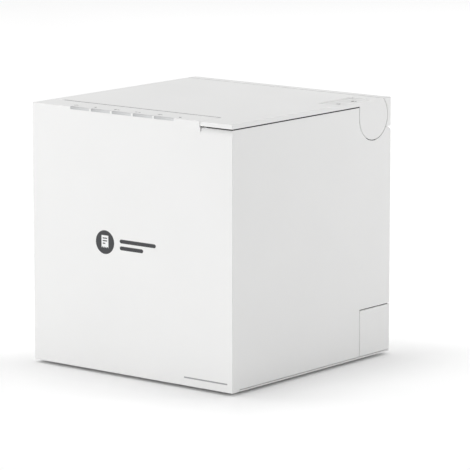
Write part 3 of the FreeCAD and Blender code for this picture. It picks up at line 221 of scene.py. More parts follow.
def rubber(name, colour, roughness, grain=0.35, height=0.02):
    """Matt black rubber with a little dust."""
    material, tree, shader = new_material(name, roughness, Specular_IOR_Level=0.35)
    dust = noise(tree, 4, detail=4.0)
    colour_between(tree, shader, dust, colour, scaled(colour, 1.6))
    rough_surface(tree, shader, noise(tree, grain, detail=3.0), height)
    return material


def circuit(name):
    """Solder mask over copper: angular tracks, tinned vias and a glossy coat."""
    material, tree, shader = new_material(name, 0.35, Coat_Weight=0.4, Coat_Roughness=0.12)
    cells = add(tree, "TexVoronoi", {"distance": "MANHATTAN", "feature": "F1"},
                Vector=place_of(tree), Scale=1 / (5.2 * MM), Randomness=0.9)
    bands = maths(tree, "PINGPONG", maths(tree, "MULTIPLY", cells.outputs["Distance"], 6.0), 0.5)
    tracks = maths(tree, "GREATER_THAN", bands, 0.3)
    base = mix_colour(tree, tracks, (0.008, 0.085, 0.035, 1), (0.016, 0.15, 0.06, 1))
    vias = add(tree, "TexVoronoi", Vector=place_of(tree), Scale=1 / (6.5 * MM), Randomness=0.7)
    drilled = maths(tree, "LESS_THAN", vias.outputs["Distance"], 0.06)
    colour_between(tree, shader, drilled, base, (0.55, 0.54, 0.5, 1))
    rough_surface(tree, shader, tracks, 0.03)
    return material


def paper_edge(name, axis_y, axis_z):
    """The wound end of a roll: faint rings round its axis, a little uneven."""
    material, tree, shader = new_material(name, 0.75)
    offsets = [maths(tree, "SUBTRACT", coordinate(tree, axis), middle)
               for axis, middle in (("Y", axis_y), ("Z", axis_z))]
    squares = [maths(tree, "POWER", offset, 2.0) for offset in offsets]
    radius = maths(tree, "SQRT", maths(tree, "ADD", *squares))
    wobble = maths(tree, "ADD", radius, maths(tree, "MULTIPLY", noise(tree, 18), 0.5))
    rings = add(tree, "TexNoise", {"noise_dimensions": "1D"}, W=wobble, Scale=2.6, Detail=8.0, Roughness=0.75)
    layer = rings.outputs[0]
    colour_between(tree, shader, layer, (0.66, 0.65, 0.62, 1), (0.93, 0.92, 0.9, 1))
    rough_surface(tree, shader, layer, 0.12)
    return material


def paper(name):
    """Coated paper with faint fibres along the web."""
    material, tree, shader = new_material(name, 0.6, Specular_IOR_Level=0.35)
    fibre = noise(tree, 0.5, stretch=(0.35, 1, 1), detail=5.0)
    colour_between(tree, shader, fibre, (0.86, 0.86, 0.85, 1), (0.93, 0.93, 0.92, 1))
    rough_surface(tree, shader, fibre, 0.008)
    return material


def core_board(name):
    """Grey-brown board wound in a slanting strip."""
    material, tree, shader = new_material(name, 0.85)
    angle = maths(tree, "ARCTAN2", coordinate(tree, "Z"), coordinate(tree, "Y"))
    seam = maths(tree, "SINE", maths(tree, "ADD", maths(tree, "MULTIPLY", coordinate(tree, "X"), 0.2), angle))
    fibre = noise(tree, 0.7, detail=6.0)
    base = mix_colour(tree, fibre, (0.3, 0.215, 0.13, 1), (0.46, 0.36, 0.24, 1))
    line = maths(tree, "GREATER_THAN", seam, 0.985)
    colour_between(tree, shader, line, base, (0.2, 0.14, 0.08, 1))
    rough_surface(tree, shader, fibre, 0.05)
    return material


HEATER_LEVEL, HEATER_HALF = 112.0, 0.32  # the heater line's height, and half its width
TRACKS_TOP, TRACKS_PER_MM = 111.2, 1.6


def head_glaze(name):
    """The print head's ceramic, with its dark heater line and the tracks that feed it."""
    material, tree, shader = new_material(name, 0.22, Coat_Weight=0.3)
    height = coordinate(tree, "Z")
    from_heater = maths(tree, "ABSOLUTE", maths(tree, "SUBTRACT", height, HEATER_LEVEL))
    heater = maths(tree, "LESS_THAN", from_heater, HEATER_HALF)
    fine = maths(tree, "PINGPONG", maths(tree, "MULTIPLY", coordinate(tree, "X"), TRACKS_PER_MM), 0.5)
    below = maths(tree, "LESS_THAN", height, TRACKS_TOP)
    track = maths(tree, "MULTIPLY", maths(tree, "GREATER_THAN", fine, 0.26), below)
    base = mix_colour(tree, track, (0.72, 0.68, 0.6, 1), (0.62, 0.5, 0.24, 1))
    colour_between(tree, shader, heater, base, (0.09, 0.06, 0.04, 1))
    rough_surface(tree, shader, noise(tree, 0.6), 0.004)
    return material


WIRES_PER_MM = 0.8


def ribbon(name):
    """Flat cable: tinned conductors seen through a clear film."""
    material, tree, shader = new_material(name, 0.3)
    lines = maths(tree, "PINGPONG", maths(tree, "MULTIPLY", coordinate(tree, "X"), WIRES_PER_MM), 0.5)
    wire = remap(tree, lines, 0.2, 0.28, 0.0, 1.0)
    base = mix_colour(tree, noise(tree, 6), (0.74, 0.76, 0.78, 1), (0.8, 0.81, 0.82, 1))
    colour_between(tree, shader, wire, base, (0.4, 0.41, 0.43, 1))
    rough_surface(tree, shader, wire, 0.06)
    return material


LIGHT_FIRST, LIGHT_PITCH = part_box("light_guides")[0].x / MM, 13.4


def window_plastic(name):
    """Milky light guides, each a little darker at its left end."""
    material, tree, shader = new_material(name, 0.35, Subsurface_Weight=0.2, Subsurface_Radius=(0.001,) * 3)
    along = maths(tree, "DIVIDE", maths(tree, "SUBTRACT", coordinate(tree, "X"), LIGHT_FIRST), LIGHT_PITCH)
    share = maths(tree, "POWER", maths(tree, "FRACT", along), 0.6)
    colour_between(tree, shader, share, (0.43, 0.435, 0.44, 1), (0.67, 0.675, 0.68, 1))
    rough_surface(tree, shader, noise(tree, 0.5), 0.006)
    return material


WHITE = (0.83, 0.83, 0.825, 1.0)
ROLL_AXIS = [(low + high) / 2 / MM for low, high in zip(*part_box("paper_core"))]

MATERIALS = {
    "case_white": moulded("case_white", WHITE, 0.55, 0.22, 0.006, Specular_IOR_Level=0.4),
    "key_white": moulded("key_white", (0.78, 0.78, 0.775, 1), 0.42, 0.3, 0.004),
    "liner_grey": moulded("liner_grey", (0.085, 0.088, 0.092, 1), 0.5, 0.3, 0.015, 0.06),
    "foot_rubber": rubber("foot_rubber", (0.028, 0.028, 0.028, 1), 0.75),
    "screw_steel": brushed("screw_steel", (0.5, 0.5, 0.51, 1), 0.32, (6, 6, 6)),
    "plated_steel": galvanised("plated_steel", (0.6, 0.6, 0.59, 1), 0.38),
    "bright_steel": brushed("bright_steel", (0.7, 0.7, 0.71, 1), 0.22, (18, 2, 2)),
    "motor_steel": brushed("motor_steel", (0.46, 0.46, 0.47, 1), 0.34, (18, 2, 2)),
    "blade_steel": brushed("blade_steel", (0.66, 0.67, 0.69, 1), 0.2, (18, 1, 18)),
    "black_plastic": moulded("black_plastic", (0.022, 0.022, 0.023, 1), 0.45, 0.35, 0.02, 0.1),
    "socket_shield": brushed("socket_shield", (0.66, 0.66, 0.64, 1), 0.26, (2, 18, 2)),
    "circuit_board": circuit("circuit_board"),
    "brass": brushed("brass", (0.68, 0.5, 0.22, 1), 0.3, (2, 2, 18)),
    "gear_nylon": moulded("gear_nylon", (0.8, 0.78, 0.71, 1), 0.38, 0.6, 0.01, 0.03,
                          Subsurface_Weight=0.15, Subsurface_Radius=(0.002, 0.0016, 0.001)),
    "platen_rubber": rubber("platen_rubber", (0.032, 0.033, 0.036, 1), 0.6, 0.2, 0.012),
    "heatsink_aluminium": brushed("heatsink_aluminium", (0.72, 0.73, 0.74, 1), 0.34, (1, 18, 18)),
    "head_ceramic": head_glaze("head_ceramic"),
    "flat_cable": ribbon("flat_cable"),
    "light_guide": window_plastic("light_guide"),
    "thermal_paper": paper("thermal_paper"),
    "core_board": core_board("core_board"),
}
PAPER_EDGE = paper_edge("paper_edge", ROLL_AXIS[1], ROLL_AXIS[2])
# Near-black print; it also fills the screws' crosses as painted shade.
INK_DARK_AND_SHADE = moulded("ink_dark_and_shade", (0.035, 0.036, 0.04, 1), 0.5, 0.3, 0.003)
INK_GREY = moulded("ink_grey", (0.33, 0.33, 0.34, 1), 0.55, 0.3, 0.003)
INK_MARK = moulded("ink_mark", (0.13, 0.13, 0.135, 1), 0.55, 0.3, 0.003)
INK_WHITE = moulded("ink_white", (0.85, 0.85, 0.85, 1), 0.5, 0.3, 0.003)
# Near-black rubber for the strips in the seams: painted shade that makes the seams read dark.
SEAM_SHADE_RUBBER = rubber("seam_shade_rubber", (0.012, 0.012, 0.013, 1), 0.85, 0.3, 0.01)
# Darker steel for the tear bar: a real part, kept dark as painted shade of the paper slot.
TEAR_STEEL_AND_SLOT_SHADE = brushed("tear_steel_and_slot_shade", (0.42, 0.42, 0.43, 1), 0.45, (18, 2, 2))
CONTACT_GOLD = brushed("contact_gold", (0.83, 0.58, 0.2, 1), 0.25, (2, 18, 2))
TINNED = brushed("tinned", (0.66, 0.66, 0.67, 1), 0.35, (4, 4, 4))
PART_CERAMIC = moulded("part_ceramic", (0.36, 0.27, 0.18, 1), 0.5, 0.4, 0.01, 0.08)
CAN_SLEEVE = moulded("can_sleeve", (0.03, 0.035, 0.05, 1), 0.3, 0.8, 0.004, 0.1)


# ---------------------------------------------------------------- piece building blocks

def body_of(node):
    return NODES[node]["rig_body"]


def new_piece(name, mesh, material, body):
    """A finished mesh as a piece of the object, riding on a body."""
    piece = bpy.data.objects.new(name, mesh)
    bpy.context.scene.collection.objects.link(piece)
    mesh.materials.clear()
    mesh.materials.append(material)
    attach(piece, body)
    return piece


def shade(mesh, degrees=30):
    """Smooth shading, with edges sharper than an angle kept sharp."""
    mesh.shade_smooth()
    mesh.set_sharp_from_angle(angle=math.radians(degrees))


def clean_mesh(node):
    """The node's surface with its split corners joined and its flat faces merged."""
    mesh = NODES[node].data.copy()
    for layer in [a for a in mesh.attributes if a.name == "custom_normal"]:
        mesh.attributes.remove(layer)
    work = bmesh.new()
    work.from_mesh(mesh)
    bmesh.ops.remove_doubles(work, verts=work.verts, dist=1e-6)
    bmesh.ops.dissolve_limit(work, angle_limit=math.radians(0.3), verts=work.verts, edges=work.edges)
    work.to_mesh(mesh)
    work.free()
    return mesh


def rounded(node, radius, segments=2):
    """The node again with its sharp edges rounded, as the piece that is shown for it."""
    slot = SLOT_OF[node]
    mesh = clean_mesh(node)
    piece = new_piece(node + "_shape", mesh, MATERIALS[slot], body_of(node))
    edges = piece.modifiers.new("rounded_edges", "BEVEL")
    edges.width = radius * MM
    edges.segments = segments
    edges.limit_method = "ANGLE"
    edges.angle_limit = math.radians(32)
    edges.use_clamp_overlap = False
    edges.harden_normals = True
    shade(mesh)
    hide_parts(node)
    return piece


EDGE_RADIUS = {
    "outer_case": 0.2, "rear_case": 0.2, "hinge_bar": 0.2, "base_plate": 0.2, "cable_cover": 0.2,
    "lid_shell": 0.2, "power_button": 0.25, "feed_button": 0.25, "lid_liner": 0.3, "paper_bucket": 0.3,
    "rubber_feet": 0.4, "feed_motor": 0.3, "cutter_motor": 0.3, "cutter_frame": 0.2, "head_heatsink": 0.1,
    "head_driver_cover": 0.2, "thermal_head": 0.05, "power_inlet": 0.25, "drawer_port": 0.25,
    "usb_port": 0.2, "ethernet_port": 0.2, "platen_roller": 0.3, "platen_shaft": 0.3, "platen_bushes": 0.2,
    "paper_sensor": 0.3, "latch_hooks": 0.2, "platen_bracket": 0.1, "mechanism_frame": 0.1,
    "connector_panel": 0.1, "hinge_brackets": 0.2, "gear_stud": 0.2, "hinge_pins": 0.3,
    "head_pivot_pin": 0.3, "latch_shaft": 0.3, "fixed_blade": 0.05,
}


# ---------------------------------------------------------------- outlines, in the plane of a face

def polar(radius, angle):
    """The two coordinates of a point on a circle round 0, at an angle in radians."""
    return radius * math.cos(angle), radius * math.sin(angle)


def arc(x, y, radius, start, end, steps):
    """Points on a circle round (x, y), from one angle to another in degrees, both included."""
    angles = [math.radians(start + (end - start) * step / steps) for step in range(steps + 1)]
    return [(x + across, y + up) for across, up in (polar(radius, angle) for angle in angles)]


def block(x, y, width, height):
    """A rectangle round a centre."""
    return [(x - width / 2, y - height / 2), (x + width / 2, y - height / 2),
            (x + width / 2, y + height / 2), (x - width / 2, y + height / 2)]


def pill(x_low, x_high, y, height, steps=8):
    """A bar with round ends."""
    radius = height / 2
    return arc(x_high - radius, y, radius, -90, 90, steps) + arc(x_low + radius, y, radius, 90, 270, steps)


def arc_band(x, y, radius, width, start, end, steps=16):
    """A part of a ring, from one angle to another in degrees, as one closed outline."""
    outer = arc(x, y, radius + width / 2, start, end, steps)
    inner = arc(x, y, radius - width / 2, start, end, steps)
    return outer + inner[::-1]


def disc(x, y, radius, steps=48):
    """A full circle."""
    return arc(x, y, radius, 0, 360, steps)[:-1]


def power_sign(x, y, radius, line, lift, tall):
    """A ring that is open at the top, with a short upright bar in the opening."""
    return [arc_band(x, y, radius, line, 120, 420), block(x, y + lift, line, tall)]


# ---------------------------------------------------------------- printed marks

class Face:
    """A flat face of the object to print on: a corner point, the way right and the way up, in millimetres."""

    def __init__(self, origin, right, up, body):
        self.origin = Vector(origin)
        self.right = Vector(right)
        self.up = Vector(up)
        self.out = self.right.cross(self.up)
        self.body = body

    def at(self, x, y, proud):
        """The point in metres at (x, y) on the face, this far out of it."""
        return (self.origin + self.right * x + self.up * y + self.out * proud) * MM


THIN_INK, INK, SECOND_INK, THIRD_INK = 0.02, 0.03, 0.05, 0.07  # how far the layers stand proud
INK_ROOT = 0.05  # and how deep they go


def print_on(face, name, shapes, material, proud=INK):
    """Prints closed outlines on a face as one thin piece of ink."""
    work = bmesh.new()
    for outline in shapes:
        top = [work.verts.new(face.at(x, y, proud)) for x, y in outline]
        bottom = [work.verts.new(face.at(x, y, -INK_ROOT)) for x, y in outline]
        work.faces.new(top)
        work.faces.new(bottom[::-1])
        for index in range(len(outline)):
            after = (index + 1) % len(outline)
            work.faces.new((top[index], bottom[index], bottom[after], top[after]))
    mesh = bpy.data.meshes.new(name)
    work.to_mesh(mesh)
    work.free()
    return new_piece(name, mesh, material, face.body)


TOP = CAD_HIGH.z / MM
FRONT = CAD_LOW.y / MM
KEY_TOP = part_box("feed_button")[1].z / MM
front_face = Face((0, FRONT, 0), (1, 0, 0), (0, 0, 1), "case")
strip_face = Face((0, 0, TOP), (1, 0, 0), (0, 1, 0), "case")
power_face = Face((0, 0, KEY_TOP), (1, 0, 0), (0, 1, 0), "power_key")
feed_face = Face((0, 0, KEY_TOP), (1, 0, 0), (0, 1, 0), "feed_key")

BADGE_X, BADGE_Z, BADGE_RADIUS = -16.5, 66.3, 5.9
SHEET_HALF, SHEET_TOP, SHEET_FOOT = 2.2, 3.4, -2.9  # the receipt, from the badge's middle
TEETH, TOOTH = 4, 0.8
LINES = [(0.0, 2.0, 2.8), (0.0, 0.7, 2.8), (-0.6, -0.6, 1.6)]  # its lines: across, up, length
LINE_HEIGHT = 0.55
BAR_LEFT, BAR_HEIGHT = -7.0, 1.9
BARS = [(16.0, 1.5), (8.0, -1.9)]  # the bars beside the badge: right end, height over its middle
FOOT_LINE = (33.5, 60.4, 5.6, 0.7)  # left, right, up, height


def make_front_badge():
    """A plain round badge with a receipt pictogram, two plain bars beside it, and a thin line below."""
    print_on(front_face, "front_badge", [disc(BADGE_X, BADGE_Z, BADGE_RADIUS)], INK_DARK_AND_SHADE)
    left, right = BADGE_X - SHEET_HALF, BADGE_X + SHEET_HALF
    top, foot = BADGE_Z + SHEET_TOP, BADGE_Z + SHEET_FOOT
    sheet = [(left, top), (left, foot)]
    step = (right - left) / TEETH
    for tooth in range(TEETH):
        sheet += [(left + step * (tooth + 0.5), foot + TOOTH), (left + step * (tooth + 1), foot)]
    sheet += [(right, top)]
    print_on(front_face, "badge_receipt", [sheet], INK_WHITE, proud=SECOND_INK)
    lines = [block(BADGE_X + x, BADGE_Z + up, length, LINE_HEIGHT) for x, up, length in LINES]
    print_on(front_face, "badge_lines", lines, INK_DARK_AND_SHADE, proud=THIRD_INK)
    bars = [pill(BAR_LEFT, right_end, BADGE_Z + up, BAR_HEIGHT) for right_end, up in BARS]
    print_on(front_face, "badge_bars", bars, INK_DARK_AND_SHADE)
    print_on(front_face, "front_line", [pill(*FOOT_LINE)], INK_GREY)


STRIP_Y = -58.4
STANDBY_X, WARNING_X, SHEET_X, LINK_X, WAVES_X = -39.2, -26.3, -13.6, -0.5, 14.4
STRIP_LINE = 0.3
WAVE_LINE, WAVE_RADII = 0.28, (0.7, 1.3, 1.9)
SENSOR_DOT = (27.9, -59.1, 0.7)


def make_strip_marks():
    """One small pictogram over the left end of each light, and the dark dot of the light sensor."""
    y = STRIP_Y
    standby = power_sign(STANDBY_X, y, 0.75, STRIP_LINE, 0.55, 0.9)
    standby += [block(STANDBY_X + 1.5, y, 0.9, STRIP_LINE)]
    warning = [[(WARNING_X - 0.9, y - 0.7), (WARNING_X + 0.9, y - 0.7), (WARNING_X, y + 0.8)]]
    sheet = [block(SHEET_X, y, 1.0, 1.5)]
    sheet += [block(SHEET_X + 1.8, y + up, 1.5, STRIP_LINE) for up in (0.5, -0.3)]
    link = [block(LINK_X, y, 0.9, 0.9), block(LINK_X + 1.15, y, 1.4, 0.28), block(LINK_X + 2.3, y, 0.9, 0.9)]
    waves = [arc_band(WAVES_X, y - 0.8, radius, WAVE_LINE, 40, 140) for radius in WAVE_RADII]
    marks = standby + warning + sheet + link + waves
    print_on(strip_face, "strip_marks", marks, INK_MARK, proud=THIN_INK)
    print_on(strip_face, "sensor_dot", [disc(*SENSOR_DOT, 24)], INK_DARK_AND_SHADE, proud=THIN_INK)


POWER_AT = (56.2, 29.4)
FEED_AT = (55.9, 41.6)


def make_key_marks():
    """An open ring on the power key, and a sheet with an arrow on the feed key."""
    ring = power_sign(*POWER_AT, 0.85, 0.35, 0.7, 0.95)
    print_on(power_face, "power_mark", ring, INK_DARK_AND_SHADE, THIN_INK)
    x, y = FEED_AT
    feed = [block(x, y, 1.3, 1.9), [(x + 1.3, y + 1.1), (x + 1.3, y - 0.5), (x + 2.3, y + 0.3)]]
    print_on(feed_face, "feed_mark", feed, INK_DARK_AND_SHADE, THIN_INK)


# ---------------------------------------------------------------- solid building blocks

def box_mm(node):
    """A node's lowest and highest corners, in millimetres."""
    return [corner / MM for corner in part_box(node)]


def joint_place(name):
    """A joint's point, in millimetres."""
    joint = next(joint for joint in frame["joints"] if joint["name"] == name)
    return [value / MM for value in joint["pos_m"]]


def corner_at(work, x, y, z):
    """A new corner of a mesh, from millimetres."""
    return work.verts.new(Vector((x, y, z)) * MM)


def mesh_piece(name, work, material, body, degrees=30):
    """Turns a finished bmesh into a piece."""
    bmesh.ops.recalc_face_normals(work, faces=work.faces)
    mesh = bpy.data.meshes.new(name)
    work.to_mesh(mesh)
    work.free()
    piece = new_piece(name, mesh, material, body)
    shade(mesh, degrees)
    return piece


def join_rings(work, rings):
    """Skins a row of rings of equal length, and caps both ends."""
    count = len(rings[0])
    for first, second in zip(rings, rings[1:]):
        for index in range(count):
            after = (index + 1) % count
            work.faces.new((first[index], first[after], second[after], second[index]))
    work.faces.new(rings[0][::-1])
    work.faces.new(rings[-1])


def sweep(work, path, profile):
    """Sweeps a closed profile of (outward, up) along a level path of (x, y), mitred at its corners."""
    points = [Vector(point) for point in path]
    runs = [(after - before).normalized() for before, after in zip(points, points[1:])]
    rings = []
    for index, point in enumerate(points):
        normals = [Vector((run.y, -run.x)) for run in runs[max(0, index - 1):index + 1]]
        out = sum(normals, Vector((0, 0))).normalized()
        mitre = out / out.dot(normals[0])
        rings.append([corner_at(work, *(point + mitre * away), up) for away, up in profile])
    join_rings(work, rings)


def turn_profile(work, centre, profile, steps=40):
    """Turns (radius, height) points about an upright axis; the first point lies on the axis."""
    x, y, z = centre
    top = corner_at(work, x, y, z + profile[0][1])
    rings = [[corner_at(work, *point, z + height) for point in disc(x, y, radius, steps)]
             for radius, height in profile[1:]]
    for index in range(steps):
        after = (index + 1) % steps
        work.faces.new((top, rings[0][index], rings[0][after]))
        for first, second in zip(rings, rings[1:]):
            work.faces.new((first[index], second[index], second[after], first[after]))
    work.faces.new(rings[-1][::-1])


def blocks_piece(name, blocks, material, body, radius=0.0):
    """Many small blocks, each given by its low and high corners in millimetres, as one piece."""
    work = bmesh.new()
    for low, high in blocks:
        outline = [(low[0], low[1]), (high[0], low[1]), (high[0], high[1]), (low[0], high[1])]
        join_rings(work, [[corner_at(work, x, y, z) for x, y in outline] for z in (low[2], high[2])])
    piece = mesh_piece(name, work, material, body)
    if radius:
        edges = piece.modifiers.new("rounded_edges", "BEVEL")
        edges.width = radius * MM
        edges.segments = 2
        edges.harden_normals = True


# ---------------------------------------------------------------- dark seam strips as painted shade, and the tear bar

WIDTH = CAD_HIGH.x / MM  # half the case's width; the case is as deep as it is wide
LID_UNDER = TOP - 2.3
WALL_TOP = LID_UNDER - 0.5
HINGE = joint_place("lid_hinge")
EAR_RADIUS, EAR_CUT = 11.6, 11.9  # the round ear, and the cut in the case round it
EAR_SHADE_FROM, EAR_SHADE_TO, EAR_SHADE_STEPS = -118, -82, 32  # degrees
LID_FRONT, TAB_LEFT = -47.1, 47.8
COVER_FRONT = box_mm("cable_cover")[0].y
COVER_TOP = box_mm("cable_cover")[1].z
# The seam strips' inset from the outer faces and their width; the strips are painted seam shade.
LID_SHADE_INSET, LID_SHADE_WIDTH = 0.06, 1.5
COVER_SHADE_INSET, COVER_SHADE_WIDTH = 0.8, 1.1


def lip_profile(width, low, high, steps=6):
    """A black lip of painted seam shade: flat, with its top outer edge rounded; its outer side is at 0."""
    radius = (high - low) / 8
    return [(-width, low), (0.0, low)] + arc(-radius, high - radius, radius, 0, 90, steps) + [(-width, high)]


def make_seam_shades():
    """Thin black strips in the seams, under the lid's edges, above the cable cover and round the ears:
    painted shade that makes the seams read dark.
    """
    ear_front = HINGE[1] - EAR_CUT
    edge = WIDTH - LID_SHADE_INSET
    lip = lip_profile(LID_SHADE_WIDTH, WALL_TOP - 0.02, LID_UNDER - 0.04)
    work = bmesh.new()
    sweep(work, [(TAB_LEFT, -edge), (edge, -edge), (edge, ear_front)], lip)
    sweep(work, [(-edge, ear_front), (-edge, LID_FRONT)], lip)
    mesh_piece("lid_seam_shade", work, SEAM_SHADE_RUBBER, "case")

    lip = lip_profile(COVER_SHADE_WIDTH, COVER_TOP + 0.04, COVER_TOP + 0.52)
    edge = WIDTH - COVER_SHADE_INSET
    front, rear = COVER_FRONT + 0.2, WIDTH - 0.9
    work = bmesh.new()
    sweep(work, [(-edge, rear), (-edge, front)], lip)
    sweep(work, [(edge, front), (edge, rear)], lip)
    mesh_piece("cover_seam_shade", work, SEAM_SHADE_RUBBER, "case")

    inner = arc(*HINGE[1:], EAR_RADIUS + 0.04, EAR_SHADE_FROM, EAR_SHADE_TO, EAR_SHADE_STEPS)
    outer = arc(*HINGE[1:], EAR_CUT + 0.02, EAR_SHADE_FROM, EAR_SHADE_TO, EAR_SHADE_STEPS)
    work = bmesh.new()
    for side in (-1, 1):
        x_out, x_in = side * (WIDTH - 0.05), side * (WIDTH - 2.0)
        rings = []
        for near, far in zip(inner, outer):
            spots = ((x_in, near), (x_out, near), (x_out, far), (x_in, far))
            rings.append([corner_at(work, x, *point) for x, point in spots])
        join_rings(work, rings)
    mesh_piece("ear_seam_shades", work, SEAM_SHADE_RUBBER, "case")


SAW_LEFT, SAW_PITCH, SAW_TEETH = -56.5, 1.2525, 80
SAW_TIP, SAW_ROOT, SAW_BACK = -0.34, -0.12, 0.02  # from the lid's front edge
SAW_LOW, SAW_HIGH = TOP - 1.8, TOP - 0.03


def make_tear_bar():
    """The saw-toothed steel bar along the lid's front edge, in the paper slot; its darker grey also stands in
    as painted shade that makes the slot read dark.
    """
    root, back = LID_FRONT + SAW_ROOT, LID_FRONT + SAW_BACK
    right = SAW_LEFT + SAW_TEETH * SAW_PITCH
    outline = []
    for tooth in range(SAW_TEETH):
        start = SAW_LEFT + tooth * SAW_PITCH
        outline += [(start, root), (start + SAW_PITCH / 2, LID_FRONT + SAW_TIP)]
    outline += [(right, root), (right, back), (SAW_LEFT, back)]
    work = bmesh.new()
    join_rings(work, [[corner_at(work, x, y, level) for x, y in outline] for level in (SAW_LOW, SAW_HIGH)])
    mesh_piece("tear_bar", work, TEAR_STEEL_AND_SLOT_SHADE, "lid", 20)


# ---------------------------------------------------------------- the main board's small parts

BOARD_TOP = box_mm("main_board")[1].z
CHIPS = {
    # name: (left, front, width, depth, height)
    "processor": (-16, -8, 14, 14, 1.4),
    "memory": (4, -8, 12, 8, 1.1),
    "driver": (-38, -12, 9, 9, 1.6),
    "port_chip": (14, 8, 7, 7, 1.0),
}
LEG_PITCH, LEG_WIDTH, LEG_MARGIN, FIRST_LEG = 1.0, 0.42, 0.8, 0.9
LEG_REACH, LEG_BITE = 0.9, 0.1  # how far a leg stands out of its chip, and into it
LEG_SHARE = 0.55  # of the chip's height
SMALL_PARTS = [
    # rows: (left, front, count)
    (-24.5, -20.0, 6), (-5.5, -17.5, 7), (19.5, -16.0, 4), (-33.0, 3.0, 3), (-12.5, 11.5, 7), (19.0, 0.5, 4),
]
PART_PITCH, PART_STAGGER = 3.1, 0.9
PART_LENGTH, PART_DEPTH, PART_HEIGHT = 2.0, 1.15, 0.62
END_LENGTH, END_LAP, END_PROUD, END_HEIGHT = 0.4, 0.05, 0.03, 0.66
CANS = [(-38, -24), (-28, -17)]
CAN_PROFILE = [
    (0.0, 8.02), (2.9, 8.02), (3.15, 8.1), (3.9, 8.06), (4.06, 7.8), (4.06, 7.0), (3.85, 6.8), (4.06, 6.6),
    (4.06, 0.3), (3.95, 0.05),
]


def leg_starts(first, length):
    """Where the legs along a side of a chip start."""
    count = int((length - 2 * LEG_MARGIN) / LEG_PITCH) + 1
    return [first + FIRST_LEG + number * LEG_PITCH for number in range(count)]


def make_chip_legs():
    """Bent tin legs on all four sides of the chips."""
    legs = []
    length = LEG_REACH + LEG_BITE
    for left, front, wide, deep, tall in CHIPS.values():
        high = BOARD_TOP + tall * LEG_SHARE
        for x in leg_starts(left, wide):
            for y in (front - LEG_REACH, front + deep - LEG_BITE):
                legs.append(((x, y, BOARD_TOP), (x + LEG_WIDTH, y + length, high)))
        for y in leg_starts(front, deep):
            for x in (left - LEG_REACH, left + wide - LEG_BITE):
                legs.append(((x, y, BOARD_TOP), (x + length, y + LEG_WIDTH, high)))
    blocks_piece("chip_legs", legs, TINNED, "case", 0.06)


def make_small_parts():
    """Rows of small resistors and capacitors with tinned ends."""
    bodies, ends = [], []
    hidden = END_LENGTH - END_LAP
    for left, front, count in SMALL_PARTS:
        for number in range(count):
            x = left + number * PART_PITCH
            y = front + (PART_STAGGER if number % 3 == 1 else 0.0)
            bodies.append(((x + hidden, y, BOARD_TOP),
                           (x + PART_LENGTH - hidden, y + PART_DEPTH, BOARD_TOP + PART_HEIGHT)))
            for start in (x, x + PART_LENGTH - END_LENGTH):
                ends.append(((start, y - END_PROUD, BOARD_TOP),
                             (start + END_LENGTH, y + PART_DEPTH + END_PROUD, BOARD_TOP + END_HEIGHT)))
    blocks_piece("small_parts", bodies, PART_CERAMIC, "case", 0.06)
    blocks_piece("small_part_ends", ends, TINNED, "case", 0.06)


def make_capacitor_sleeves():
    """The cans' printed sleeves, each with a groove and a crimped top."""
    work = bmesh.new()
    for x, y in CANS:
        turn_profile(work, (x, y, BOARD_TOP), CAN_PROFILE)
    mesh_piece("capacitor_sleeves", work, CAN_SLEEVE, "case", 40)


# ---------------------------------------------------------------- contacts in the sockets

MODULAR_SOCKETS = {"drawer_port": (6, 1.27), "ethernet_port": (8, 1.02)}  # contacts and their pitch
CONTACT_WIDTH, CONTACT_RUN, CONTACT_LAP = 0.36, 1.6, 0.1
CONTACT_STEPS, CONTACT_DROP = 4, 0.45  # a contact slopes down from the mouth in short steps
CONTACT_BACK, CONTACT_ROOF = 3.0, 9.4  # behind the mouth, and over the board
CONTACT_LOW, CONTACT_HIGH = -1.0, -0.62  # the first step, from the roof
PIN_PLACES = [(-2.2, -1.0), (2.2, -1.0), (0.0, 2.2)]  # from the inlet's middle
PIN_LEVEL = 5.8  # over the board
PIN_PROFILE = [(9.9, 0.72), (2.3, 0.72), (1.9, 0.6), (1.7, 0.35)]  # (depth behind the mouth, radius)


def make_socket_contacts():
    """Gilded spring contacts in the two modular sockets."""
    contacts = []
    for node, (count, pitch) in MODULAR_SOCKETS.items():
        low, high = box_mm(node)
        first = (low.x + high.x) / 2 - (count - 1) / 2 * pitch - CONTACT_WIDTH / 2
        for number in range(count):
            x = first + number * pitch
            for step in range(CONTACT_STEPS):
                back = high.y - CONTACT_BACK - step * CONTACT_RUN
                roof = BOARD_TOP + CONTACT_ROOF - step * CONTACT_DROP
                contacts.append(((x, back - CONTACT_RUN - CONTACT_LAP, roof + CONTACT_LOW),
                                 (x + CONTACT_WIDTH, back, roof + CONTACT_HIGH)))
    blocks_piece("socket_contacts", contacts, CONTACT_GOLD, "case")


def make_inlet_pins():
    """Bright pins in the power inlet."""
    low, high = box_mm("power_inlet")
    middle = (low.x + high.x) / 2
    work = bmesh.new()
    for across, up in PIN_PLACES:
        rings = [[corner_at(work, x, high.y - depth, z)
                  for x, z in disc(middle + across, BOARD_TOP + PIN_LEVEL + up, radius, 20)]
                 for depth, radius in PIN_PROFILE]
        join_rings(work, rings)
    mesh_piece("inlet_pins", work, MATERIALS["bright_steel"], "case", 40)


# ---------------------------------------------------------------- under the lid, and the screws

LINER_WALL = 1.8
RIB_END = 2.0 + LINER_WALL  # where the ribs start, from the liner's sides
RIB_WIDTH, RIB_ROOT = 1.1, 0.1
CROSS_RIBS, CROSS_FIRST, CROSS_PITCH, CROSS_HEIGHT = 6, -22.0, 10.5, 1.6
LONG_RIBS, LONG_FRONT, LONG_REAR, LONG_HEIGHT = 5, -30.0, 35.0, 1.0


